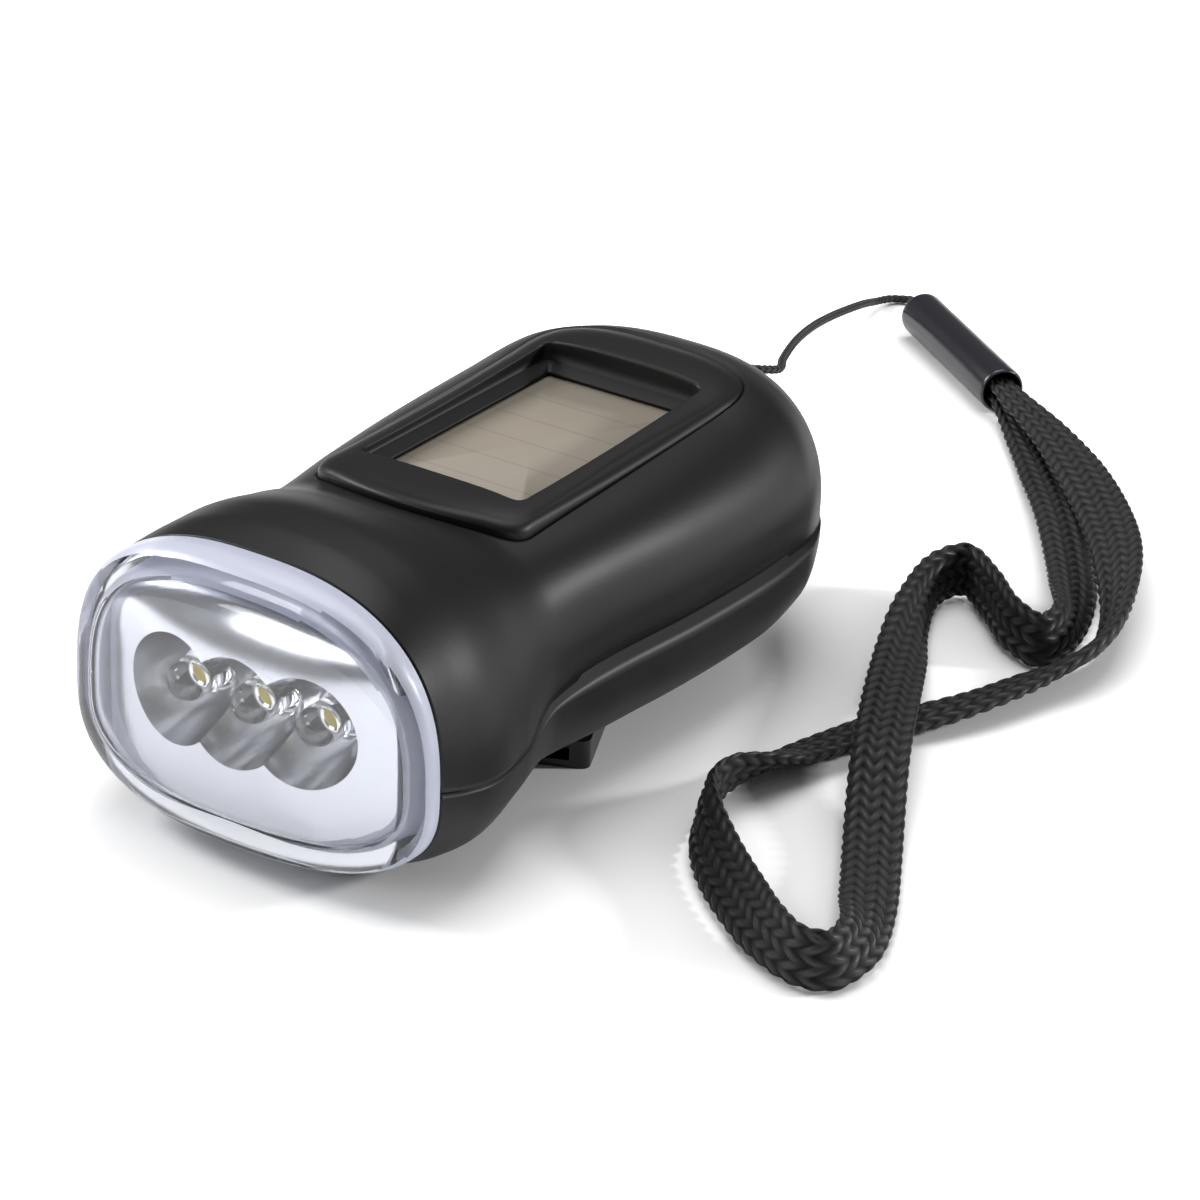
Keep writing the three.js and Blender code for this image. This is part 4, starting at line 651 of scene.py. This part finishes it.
def upper_shell(rows=96, around=520):
    """Upper shell. Its skin is upper_point(share, turn) over the rectangle of shares 0 to 1 and turns 0 to pi less
    the solar pocket. The grid's rows run from the pocket's outline to the rectangle's sides, then back inside at
    the wall's depth."""
    outline = pad_outline(SEAT, FINE)
    share = (outline[:, 1] - RIM_Y) / BODY_LENGTH
    reach = np.clip(np.abs(outline[:, 0]) / section(share)[0], 0, 1) ** (follow(TOP_POWER, share) / 2)
    u, v = station(share), np.arccos(np.sign(outline[:, 0]) * reach)
    middle = np.array([0.5 * (u.min() + u.max()), np.pi / 2])
    bearing = np.unwrap(np.arctan2((v - middle[1]) / np.pi, u - middle[0]))
    order = np.argsort(bearing)
    corners = np.arctan2(np.array([-1, 1, 1, -1]) * 0.5, np.array([1, 1, 0, 0]) - middle[0])
    low = bearing.min()
    corners = (corners - low) % (2 * np.pi) + low
    spacing = np.cumsum(np.hypot(np.gradient(outline[:, 0]), np.gradient(outline[:, 1])))
    way = np.abs(spacing[order] - spacing[order][0]) / spacing[-1]
    blend = BEARING_SHARE * (bearing[order] - low) / (2 * np.pi) + (1 - BEARING_SHARE) * way
    even = np.interp(np.linspace(0, blend.max(), around, endpoint=False), blend, bearing[order])
    for corner in corners:
        even[np.argmin(np.abs(even - corner))] = corner
    even.sort()
    u0, v0 = (np.interp(even, bearing[order], k[order], period=2 * np.pi) for k in (u, v))
    cosine, sine = np.cos(even), np.sin(even)
    reach_u = np.where(cosine > 0, 1 - middle[0], middle[0]) / np.maximum(np.abs(cosine), 1e-9)
    reach_v = 0.5 / np.maximum(np.abs(sine), 1e-9)
    reach = np.minimum(reach_u, reach_v)
    u1 = np.clip(middle[0] + reach * cosine, 0, 1)
    v1 = np.clip(middle[1] + reach * sine * np.pi, 0, np.pi)
    t = np.linspace(0, 1, rows)[:, None]
    uu, vv = u0 + (u1 - u0) * t, v0 + (v1 - v0) * t
    few = np.linspace(0, rows - 1, rows // 3).astype(int)[::-1]
    skins = zip(upper_point(spread(uu), vv), off_tail(upper_point(spread(uu[few]), vv[few], WALL)))
    x, y, z = (np.concatenate([outer, inner, outer[:1]]) for outer, inner in skins)
    cord_axis = (0, math.cos(CORD_TILT), math.sin(CORD_TILT))
    openings = [stadium(SEAT), tube_opening(CORD_HOLE + TAIL, cord_axis, CORD_OPENING)]
    return cut_open("upper_casing", x, y, z, openings)


# Screws of the case: across, along and height of the head's seat
SCREW_SPOTS = [(-14.2, 29.5, 6.9), (14.2, 29.5, 6.9), (-12.2, 83.0, 8.43), (12.2, 83.0, 8.43)]
RECESS_RADIUS, RECESS_WALL, SCREW_HOLE = 2.7, 0.8, 1.5
CRANK_ALONG = 62.0
BUSH_RADIUS = 4.05
TONGUE_DEPTH, TONGUE_RISE, TONGUE_FADE = 0.9, 0.5, 0.03


def lower_z(x, y):
    """Height of the underside at a place across and along the body."""
    half, ledge, under, power = lower_half((y - RIM_Y) / BODY_LENGTH)
    return ledge - (ledge - under) * (1 - np.clip(np.abs(x) / half, 0, 1) ** power) ** (1 / power)


def lower_shell(rows=300, turns=190):
    """Lower shell: a skin of lower_point(share, turn) outside and at the wall's depth inside, joined by a ledge and
    a tongue that stands inside the seam."""
    share = spread(np.linspace(0, 1, rows)[:, None])
    outer = lower_point(share, np.linspace(0, np.pi, turns)[None, :])
    inner = off_tail(lower_point(share, np.linspace(np.pi, 0, turns // 2)[None, :], WALL))
    half, _, _, seam = section(share)
    narrow = np.clip((1 - share) / TONGUE_FADE, 0, 1)
    high = TONGUE_RISE + LEDGE_DROP

    def tongue(sign):
        return [(sign * np.maximum(half - depth, 0), RIM_Y + share * (BODY_LENGTH - depth),
                 seam - LEDGE_DROP * narrow + rise * narrow)
                for depth, rise in [(TONGUE_DEPTH, 0), (TONGUE_DEPTH, high), (WALL, high)]]

    columns = [np.broadcast_arrays(*part) for part in (outer, *tongue(-1), inner, *tongue(1)[::-1])]
    x, y, z = (np.concatenate(parts, 1) for parts in zip(*columns))
    upright = (0, 0, 1)
    openings = [tube_opening((at, RIM_Y + along, 3), upright, RECESS_RADIUS) for at, along, _ in SCREW_SPOTS]
    openings.append(tube_opening((0, RIM_Y + CRANK_ALONG, 3), upright, BUSH_RADIUS))
    return cut_open("lower_casing", x, y, z, openings)


def screw_recess(index, across, along, seat, count=72):
    """Round recess of a case screw: a wall that starts on the underside at (x, y, lower_z(x, y)), a seat for the
    head, and the outside of its boss."""
    turns = full_turn(count)

    def ring(radius):
        return across + radius * np.cos(turns), RIM_Y + along + radius * np.sin(turns)

    skin = lower_z(*ring(RECESS_RADIUS))
    shelf = np.full(count, seat + SEAT)
    outer = RECESS_RADIUS + RECESS_WALL
    inside = lower_z(*ring(outer)) + WALL / 2
    rows = [(RECESS_RADIUS, skin), (RECESS_RADIUS, shelf), (SCREW_HOLE, shelf), (SCREW_HOLE, shelf + RECESS_WALL),
            (outer, shelf + RECESS_WALL), (outer, inside), (RECESS_RADIUS, skin)]
    return rings(f"screw_recess_{index}", [np.stack([*ring(radius), height], -1) for radius, height in rows])


upper = upper_shell()
lower = lower_shell()
recesses = [screw_recess(k + 1, *spot) for k, spot in enumerate(SCREW_SPOTS)]
black_shell = material("black moulded plastic", (0.005, 0.005, 0.0055), 0.44, Specular_IOR_Level=0.27)
bump(black_shell, 1500, 0.016, 2.0, 0.55)
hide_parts("upper_shell")
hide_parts("lower_shell")
for piece in (upper, lower, *recesses):
    paint(piece, black_shell)
    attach(piece, "housing")


# Solar frame and cell. The frame's section, from the window outwards: a straight foot and a bevel, a small roll, a
# top that falls towards its edge, the edge's drop, and the outer wall down through its middle to the foot.
WINDOW_FRONT, WINDOW_REAR = 34.4, 74.0
WINDOW_HALF, WINDOW_CORNER, CORNER_GROWTH = 11.8, 1.6, 0.8
WINDOW_BEVEL, WINDOW_BEVEL_DEPTH, BEVEL_FOOT = 1.6, 1.2, 0.25
FRAME_ROLL, FRAME_FALL = 0.35, 0.28
FRAME_EDGE, EDGE_DROP, WALL_DROP = 1.5, 0.95, 1.35
WALL_MIDDLE, FOOT_MARGIN, FRAME_MIDDLE = 32.5, 0.2, 55.0
CELL_LOW, CELL_HIGH, CELL_LAP, CELL_CORNER = 32.0, 33.2, 1.0, 0.8


def pad_top(x, y):
    along = y - RIM_Y
    return body_top(x, along) + PAD_LIFT_HEIGHT * follow(PAD_LIFT, along / BODY_LENGTH)


def window_outline(grow):
    bends = [WINDOW_CORNER + grow * CORNER_GROWTH] * 4
    front, rear = RIM_Y + WINDOW_FRONT - grow, RIM_Y + WINDOW_REAR + grow
    return rounded_box(WINDOW_HALF + grow, front, rear, bends, 40, 120, FINE)


def by_bearing(points, bearings, middle):
    """Places of a closed outline at given bearings from its middle."""
    found = np.arctan2(points[:, 1] - middle[1], points[:, 0] - middle[0])
    order = np.argsort(found)
    return np.stack([np.interp(bearings, found[order], points[order, k], period=2 * np.pi) for k in (0, 1)], -1)


def solar_frame(count=560):
    """Solar frame: rows of one outline after another, from the window's straight wall, up its bevel, over a top
    that follows the body and rolls down at the edge by EDGE_DROP (1 - sqrt(1 - q^2)), to the outer wall."""
    middle = np.array([0, RIM_Y + FRAME_MIDDLE])
    outer = even_loop(pad_outline(0, FINE), count)
    bearings = np.arctan2(outer[:, 1] - middle[1], outer[:, 0] - middle[0])
    window = by_bearing(window_outline(0), bearings, middle)
    bevel = by_bearing(window_outline(-WINDOW_BEVEL), bearings, middle)
    width = np.linalg.norm(outer - window, axis=1, keepdims=True)
    outward = unit(outer - window)
    shelf = CELL_HIGH + SEAT
    low, high = shelf + BEVEL_FOOT, shelf + WINDOW_BEVEL_DEPTH
    rows = []

    def row(points, z):
        rows.append(np.column_stack([points, np.broadcast_to(z, count)]))

    def top_row(points, drop):
        row(points, pad_top(*points.T) - drop)

    row(bevel, shelf)
    row(bevel, low)
    for t in np.linspace(0.06, 0.94, 8):
        row(bevel + (window - bevel) * t, low + (high - low) * t)
    row(window, high)
    row(window, (high + pad_top(*window.T)) / 2)
    top_row(window, FRAME_ROLL)
    for angle in np.radians([30, 60, 90]):
        top_row(window + outward * FRAME_ROLL * (1 - np.cos(angle)), FRAME_ROLL * (1 - np.sin(angle)))
    for t in np.linspace(0.06, 1, 14):
        top_row(window + outward * (FRAME_ROLL + (width - FRAME_ROLL - FRAME_EDGE) * t), FRAME_FALL * t ** 3)
    for q in np.sin(np.radians([12, 24, 36, 48, 60, 70, 79, 86])):
        top_row(outer - outward * FRAME_EDGE * (1 - q), FRAME_FALL + EDGE_DROP * (1 - np.sqrt(1 - q * q)))
    top_row(outer, WALL_DROP)
    row(outer, (pad_top(*outer.T) - WALL_DROP + WALL_MIDDLE) / 2)
    row(outer, CELL_LOW)
    row(by_bearing(window_outline(-FOOT_MARGIN), bearings, middle), CELL_LOW)
    return rings("solar_surround", [*rows, rows[0]])


def solar_cell_plate(edge=0.15):
    """The cell: a flat plate with softened edges that reaches under the frame."""
    grow = CELL_LAP - WINDOW_BEVEL
    outline = rounded_box(WINDOW_HALF + grow, RIM_Y + WINDOW_FRONT - grow, RIM_Y + WINDOW_REAR + grow,
                          [CELL_CORNER] * 4, 24, 24, 160)
    middle = outline.mean(0)
    drawn = outline - unit(outline - middle) * edge
    rows = [(middle, CELL_LOW), (drawn, CELL_LOW), (outline, CELL_LOW + edge), (outline, CELL_HIGH - edge),
            (drawn, CELL_HIGH), (middle, CELL_HIGH)]
    return rings("solar_plate", [np.column_stack([np.broadcast_to(points, outline.shape), np.full(len(outline), z)])
                                 for points, z in rows])


surround = solar_frame()
solar_plate = solar_cell_plate()

# Look of the cell: taupe film with hair-thin lines both ways, in millimetres, under a clear coat
FILM, FILM_LINE = (0.27, 0.235, 0.19), (0.2, 0.175, 0.14)
solar_film = material("solar film", FILM, 0.55, Coat_Weight=0.25, Coat_Roughness=0.3)
split = pattern(solar_film, "ShaderNodeSeparateXYZ")


def lines(axis, shift, spacing, share):
    """1 on a share of every spacing along an axis, else 0."""
    place = maths(solar_film, "ADD", maths(solar_film, "MULTIPLY", split.outputs[axis], 1 / MM), shift)
    lap = maths(solar_film, "FRACT", maths(solar_film, "DIVIDE", place, spacing))
    return maths(solar_film, "LESS_THAN", lap, share)


faint = maths(solar_film, "MULTIPLY", lines("X", 0.0, 0.62, 0.16), 0.3)
colour_by(solar_film, maths(solar_film, "MAXIMUM", faint, lines("Y", 60.0, 6.1, 0.035)), FILM, FILM_LINE)
paint(surround, black_shell)
paint(solar_plate, solar_film)
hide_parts("solar_bezel")
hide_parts("solar_cell")
for piece in (surround, solar_plate):
    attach(piece, "housing")


# Lens cover
LENS_WALL, SKIRT_WALL, SKIRT_DEPTH = 1.2, 0.8, 2.6
SKIRT_OUTER = WALL + SEAT
RIM_MIDDLE = 0.41 * BODY_HEIGHT
RIM_POINTS, DOME_POWER = 320, 5
FROSTED_BELOW = 0.72


def rim_outline(inset, count):
    """Outline of the body at its rim: x and z, evenly stepped."""
    turns = np.linspace(0, np.pi, 400)
    x0, _, z0 = upper_point(0, turns, inset)
    x1, _, z1 = lower_point(0, turns[::-1], inset)
    return even_loop(np.concatenate([np.stack([x0, z0], -1), np.stack([x1, z1], -1)]), count)


def lens_bow(x, reach):
    return reach - (reach - LENS_SIDE_REACH) * (x / BODY_HALF_WIDTH) ** 2


def dome_rows(inset, reach, steps=26):
    """Rows of the bowed cover: each shrinks the rim's outline by r and stands off it by bow(x) (1 - r^p)^(1/p)."""
    loop = rim_outline(inset, RIM_POINTS)
    rows = []
    for angle in np.linspace(0, np.pi / 2, steps):
        ratio, fall = (wave(angle) ** (2 / DOME_POWER) for wave in (np.cos, np.sin))
        x = loop[:, 0] * ratio
        y = RIM_Y - SEAT - lens_bow(x, reach - SEAT) * fall
        rows.append(np.stack([x, y, RIM_MIDDLE + (loop[:, 1] - RIM_MIDDLE) * ratio], -1))
    return rows


def rim_row(inset, along):
    x, z = rim_outline(inset, RIM_POINTS).T
    return np.stack([x, np.full(RIM_POINTS, RIM_Y + along), z], -1)


def lens_cover():
    """The cover: its outer dome, the skirt that slips into the rim, and the inner dome."""
    inset = SKIRT_OUTER + SKIRT_WALL
    return rings("clear_cover", [
        *dome_rows(0, LENS_REACH)[::-1], rim_row(SKIRT_OUTER, -SEAT), rim_row(SKIRT_OUTER, SKIRT_DEPTH),
        rim_row(inset, SKIRT_DEPTH), *dome_rows(inset, LENS_REACH - LENS_WALL)])


cover = lens_cover()
clear = material("clear plastic", (0.95, 0.96, 1.0), 0.02, Transmission_Weight=1.0, IOR=1.49)
frosted = material("frosted edge of the cover", (0.8, 0.83, 0.97), 0.35, Transmission_Weight=0.45, IOR=1.49)
bump(frosted, 420, 0.05, 2.0, 0.6)
paint(cover, clear)
cover.data.materials.append(frosted)
walls = np.zeros(len(cover.data.polygons) * 3)
cover.data.polygons.foreach_get("normal", walls)
cover.data.polygons.foreach_set("material_index", (np.abs(walls[1::3]) < FROSTED_BELOW).astype(np.int32))
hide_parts("lens_cover")
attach(cover, "housing")


# Reflector
FACE_HALF, FACE_LIFT, FACE_HEIGHT = 20.6, 4.3, 29.6
FACE_FRONT, FACE_BULGE, FACE_BENDS = -0.9, 4.0, (7.4, 7.4, 9.9, 9.9)
FACE_ROLL, FACE_TAPER = 0.3, 0.5
FLANGE_INNER, FLANGE_OUTER, FLANGE_GAP, FLANGE_BACK = 1.2, 1.5, 0.2, 1.2
LAMP_PITCH, LAMP_HEIGHT = 9.2, 20.3
LAMP_PLACES = (-LAMP_PITCH, 0, LAMP_PITCH)
CUP_RADIUS, CUP_FOOT, CUP_FLOOR, CUP_FLOOR_DEPTH, MOUTH_REACH = 6.8, 2.8, 2.6, 0.8, 16
CUP_BACK = FACE_FRONT - FACE_BULGE + 9
DISH_HALF, DISH_FOOT, DISH_HIGH, DISH_DEPTH = 20.0, 21.0, 12.9, 3.6


def face_y(x, z):
    """Reflector's face: a bow across, drawn back above the lamps by a depth times s^2 (1 - w^4), s the way up and w
    the way across."""
    plain = RIM_Y + FACE_FRONT - FACE_BULGE * (1 - (x / FACE_HALF) ** 2)
    way_up = np.clip((z - DISH_FOOT) / DISH_HIGH, 0, 1)
    return plain + DISH_DEPTH * way_up ** 2 * np.maximum(1 - (x / DISH_HALF) ** 4, 0)


def cups_outline(count):
    """Outline of the three overlapping mouths."""
    clip = math.acos(LAMP_PITCH / 2 / CUP_RADIUS)
    pieces = []
    for centre, start, stop in [(LAMP_PITCH, -np.pi + clip, np.pi - clip), (0, clip, np.pi - clip),
                                (-LAMP_PITCH, clip, 2 * np.pi - clip), (0, np.pi + clip, 2 * np.pi - clip)]:
        t = np.linspace(start, stop, 500, endpoint=False)
        pieces.append(np.stack([centre + CUP_RADIUS * np.cos(t), LAMP_HEIGHT + CUP_RADIUS * np.sin(t)], -1))
    return even_loop(np.vstack(pieces), count)


def reflector_face(count=640, rows=84):
    """Rows from the mouths' outline to the face's outline over face_y(x, z), a rolled edge, a wall drawn back, and
    the flange behind the cover's skirt. Its points' bearings lie half way between those of even steps along the
    mouths and even bearings."""
    middle = np.array([0, LAMP_HEIGHT])
    loop = cups_outline(count)
    found = np.unwrap(np.arctan2(loop[:, 1] - middle[1], loop[:, 0] - middle[0]))
    even = np.linspace(found[0], found[0] + 2 * np.pi * np.sign(found[-1] - found[0]), count, endpoint=False)
    bearing = ((found + even) / 2 + np.pi) % (2 * np.pi) - np.pi
    face_line = rounded_box(FACE_HALF, FACE_LIFT, FACE_LIFT + FACE_HEIGHT, FACE_BENDS, 60, 60, 6000)
    inner, outer, wide = (by_bearing(line, bearing, middle)
                          for line in (cups_outline(6000), face_line, rim_outline(SKIRT_OUTER, FINE)))
    outward = unit(outer - inner)
    edge_y = face_y(*outer.T)
    back_y = RIM_Y + SKIRT_DEPTH + SEAT
    grid = []

    def row(points, y):
        grid.append(np.stack([points[:, 0], np.broadcast_to(y, count), points[:, 1]], -1))

    for t in np.linspace(0, 1, rows):
        place = inner + (outer - inner) * t
        row(place, face_y(*place.T))
    for angle in np.radians([30, 60, 90]):
        row(outer + outward * FACE_ROLL * np.sin(angle), edge_y + FACE_ROLL * (1 - np.cos(angle)))
    for t in np.linspace(0.1, 1, 6):
        row(outer + outward * (FACE_ROLL + FACE_TAPER * t), edge_y + FACE_ROLL + (back_y - edge_y - FACE_ROLL) * t)
    row(outer + outward * FLANGE_INNER, back_y + FLANGE_GAP)
    row(wide, back_y + FLANGE_GAP)
    row(wide, back_y + FLANGE_BACK)
    row(outer + outward * FLANGE_OUTER, back_y + FLANGE_BACK)
    return surface("reflector_face", *np.moveaxis(np.stack(grid), -1, 0), wrap=True, flip=True)


def reflector_cup(index, centre, count=220, rows=40):
    """One cup about its lamp: y = mouth + (foot - mouth)(1 - q^2), q the share of the way from foot to mouth, cut
    by the planes half a pitch either side where it meets its neighbours."""
    t = full_turn(count)
    limit = np.full(count, CUP_RADIUS)
    for side in (-1, 1):
        if 1 <= index + side <= len(LAMP_PLACES):
            facing = side * np.cos(t)
            limit = np.where(facing > 0, np.minimum(limit, LAMP_PITCH / 2 / np.maximum(facing, 1e-6)), limit)
    q = np.linspace(0, 1, rows)[:, None] * (limit - CUP_FOOT) / (CUP_RADIUS - CUP_FOOT)
    radius = np.vstack([np.full(count, CUP_FLOOR), CUP_FOOT + (CUP_RADIUS - CUP_FOOT) * q])
    mouth_y = face_y(np.clip(centre + CUP_RADIUS * np.cos(t), -MOUTH_REACH, MOUTH_REACH),
                     LAMP_HEIGHT + CUP_RADIUS * np.sin(t))
    foot_y = RIM_Y + CUP_BACK
    y = np.vstack([np.full(count, foot_y + CUP_FLOOR_DEPTH), mouth_y + (foot_y - mouth_y) * (1 - q ** 2)])
    x, z = centre + radius * np.cos(t), LAMP_HEIGHT + radius * np.sin(t)
    return surface(f"reflector_cup_{index}", x, y, z, wrap=True, flip=True)


chrome = material("chromed plastic", (0.56, 0.57, 0.59), 0.17, 1.0)
face = reflector_face()
cups = [reflector_cup(k + 1, centre) for k, centre in enumerate(LAMP_PLACES)]
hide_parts("reflector")
for piece in (face, *cups):
    paint(piece, chrome)
    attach(piece, "housing")


# Lamps: a clear bullet with a flange, its lead frame and a yellow chip. Profiles of radius and distance from the tip.
LAMP_TIP = CUP_BACK + SEAT - 7.7
BULLET_PROFILE = [(2.5 * math.sin(a), 2.5 * (1 - math.cos(a))) for a in np.radians(np.linspace(0, 90, 20))] + [
    (2.5, 5.7), (2.5, 7.6), (2.55, 7.7), (2.85, 7.7), (2.9, 7.75), (2.9, 8.65), (2.85, 8.7), (0, 8.7)]
LEAD_PROFILE = [(0, 4.2), (0.35, 4.2), (0.75, 3.7), (0.95, 3.65), (0.95, 4.6), (0.7, 4.9), (0.55, 8.3), (0, 8.3)]
CHIP_PROFILE = [(0, 3.62), (0.55, 3.66), (0.72, 3.78), (0.5, 4.05), (0, 4.05)]


def lamp_part(name, profile, centre, made, sides):
    """A profile turned about the axis of the lamp at a place across."""
    piece = lathe(name, profile, sides)
    piece.data.transform(Matrix(((0, 1, 0, centre * MM), (1, 0, 0, (RIM_Y + LAMP_TIP) * MM),
                                 (0, 0, 1, LAMP_HEIGHT * MM), (0, 0, 0, 1))))
    piece.data.flip_normals()
    return paint(piece, made)


lamp_clear = material("lamp epoxy", (0.97, 0.97, 0.95), 0.03, Transmission_Weight=1.0, IOR=1.52)
phosphor = material("phosphor", (0.85, 0.68, 0.12), 0.5)
silvered = material("silvered lead frame", (0.8, 0.8, 0.78), 0.22, 1.0)
for index, centre in enumerate(LAMP_PLACES):
    bullet = lamp_part(f"lamp_bullet_{index + 1}", BULLET_PROFILE, centre, lamp_clear, 64)
    lead_frame = lamp_part(f"lamp_frame_{index + 1}", LEAD_PROFILE, centre, silvered, 32)
    chip = lamp_part(f"lamp_chip_{index + 1}", CHIP_PROFILE, centre, phosphor, 32)
    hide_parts(f"led_{index + 1}")
    for piece in (bullet, lead_frame, chip):
        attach(piece, "housing")


# Finishes of the nodes that keep their solids
def grained(name, dark, light, roughness, metallic, scale, relief):
    """Uneven base colour and a finer grain four times as close."""
    made = material(name, light, roughness, metallic)
    cloud = pattern(made, "ShaderNodeTexNoise", Scale=scale, Detail=3.0)
    colour_by(made, cloud.outputs["Fac"], dark, light)
    bump(made, scale * 4, relief)
    return made


def wound(name, dark, light, turn_height):
    """Copper wire laid in turns: a wave along the height."""
    made = material(name, light, 0.3, 1.0)
    turns = pattern(made, "ShaderNodeTexWave", Scale=math.pi / 10 / (turn_height * MM), bands_direction="Z")
    colour_by(made, turns.outputs["Fac"], dark, light)
    emboss(made, turns, "Fac", 0.1, 1.0)
    return made


black_trim = grained("black trim", (0.007, 0.007, 0.0075), (0.011, 0.011, 0.012), 0.34, 0.0, 300, 0.02)
steel = grained("plated steel", (0.42, 0.42, 0.43), (0.58, 0.58, 0.6), 0.28, 1.0, 600, 0.01)
nylon = grained("gear nylon", (0.62, 0.6, 0.54), (0.76, 0.74, 0.68), 0.42, 0.0, 250, 0.02)
magnet = grained("magnet", (0.035, 0.035, 0.038), (0.07, 0.07, 0.075), 0.55, 0.4, 500, 0.02)
board = grained("board lacquer", (0.008, 0.055, 0.02), (0.015, 0.1, 0.035), 0.32, 0.0, 150, 0.015)
finishes = {
    black_trim: ["crank_arm", "crank_grip", "switch_button", "tact_switch"],
    steel: ["crank_shaft", "grip_pin", "crank_screw", "rotor_shaft", "stator_cup", "first_idler_axle",
            "second_idler_axle", *(f"case_screw_{k}" for k in (1, 2, 3, 4)),
            *(f"{kind}_{k}" for kind in ("gearbox_screw", "cell") for k in (1, 2, 3))],
    nylon: ["shaft_bush", "gearbox_base", "gearbox_cover", "drive_gear", "first_idler_gear", "second_idler_gear"],
    magnet: ["rotor_magnet"],
    board: ["led_board", "main_board"],
    wound("copper winding", (0.3, 0.11, 0.035), (0.72, 0.33, 0.14), 0.35): ["stator_coil"],
}
for finish, names in finishes.items():
    for name in names:
        bpy.data.objects[name].material_slots[0].material = finish


# Floor, room and lamps of the studio
FLOOR_HALF, FLOOR_LEVEL = 3000.0, -0.02
# the second value sets how sharply the painted contact shadow in the floor's glow falls off round things on it
MIRROR_SHARE, CONTACT_SHADOW_POWER = 0.55, 3.2
WHITE = (1, 1, 1, 1)
side = np.array([-FLOOR_HALF, FLOOR_HALF])
floor = surface("floor", side[None, :], side[:, None], FLOOR_LEVEL)
sweep = material("white sweep", (0.93, 0.93, 0.93), 0.9, Specular_IOR_Level=0.0)
paint(floor, sweep)


def pale_to_camera(made, strength, reach, far_from, far_to):
    """Lifts the floor for camera, mirror and glass rays by a glow, and for the camera up to twice as much far off,
    where the lamps don't reach; ambient occlusion dims the glow near the things that stand on it, a painted contact
    shadow."""
    rays = node(made, "ShaderNodeLightPath")
    mirrored = maths(made, "MULTIPLY", rays.outputs["Is Glossy Ray"], MIRROR_SHARE)
    span = pattern(made, "ShaderNodeVectorMath", operation="LENGTH").outputs["Value"]
    far = maths(made, "SUBTRACT", span, far_from)
    far = maths(made, "MULTIPLY", far, 1 / (far_to - far_from), clamp=True)
    direct = maths(made, "MULTIPLY", rays.outputs["Is Camera Ray"], maths(made, "ADD", far, 1.0))
    seen = maths(made, "MAXIMUM", maths(made, "MAXIMUM", direct, mirrored), rays.outputs["Is Transmission Ray"])
    # painted contact shadow: ambient occlusion dims the floor's glow near the things on it
    near = node(made, "ShaderNodeAmbientOcclusion", Distance=reach, samples=8)
    unshadowed_share = maths(made, "POWER", near.outputs["AO"], CONTACT_SHADOW_POWER)
    glow = node(made, "ShaderNodeEmission", Color=WHITE)
    level = maths(made, "MULTIPLY", maths(made, "MULTIPLY", seen, unshadowed_share), strength)
    wire(made, level, glow.inputs["Strength"])
    total = node(made, "ShaderNodeAddShader")
    join(made, shader_of(made), 0, total, 0)
    join(made, glow, 0, total, 1)
    join(made, total, 0, made.node_tree.nodes["Material Output"], "Surface")


pale_to_camera(sweep, 0.56, 0.07, 0.3, 1.0)

world = bpy.data.worlds.new("room")
scene.world = world
world.use_nodes = True
room_light = world.node_tree.nodes["Background"]
room_light.inputs["Color"].default_value = WHITE
room_light.inputs["Strength"].default_value = 0.18
seen_white = node(world, "ShaderNodeBackground", Color=WHITE, Strength=1.0)
mixed = node(world, "ShaderNodeMixShader")
join(world, node(world, "ShaderNodeLightPath"), "Is Camera Ray", mixed, 0)
join(world, room_light, 0, mixed, 1)
join(world, seen_white, 0, mixed, 2)
join(world, mixed, 0, world.node_tree.nodes["World Output"], "Surface")


def softbox(name, place, target, size, power):
    data = bpy.data.lights.new(name, "AREA")
    data.shape = "RECTANGLE"
    data.size, data.size_y = size
    data.energy = power
    lamp = bpy.data.objects.new(name, data)
    lamp.location = place
    lamp.rotation_euler = (Vector(target) - Vector(place)).to_track_quat("-Z", "Y").to_euler()
    scene.collection.objects.link(lamp)


softbox("overhead", (-0.1, 0.25, 0.9), (0, 0.02, 0), (0.7, 0.7), 5.2)
softbox("left_key", (-0.75, -0.2, 0.55), (0, 0, 0.02), (0.34, 0.34), 7)
softbox("front_left", (-0.36, -0.8, 0.36), (0, 0, 0.02), (0.34, 0.26), 1.7)
softbox("right_back", (0.62, 0.43, 0.28), (0, 0, 0.02), (0.07, 0.08), 4.0)
scene.view_settings.view_transform = "Standard"
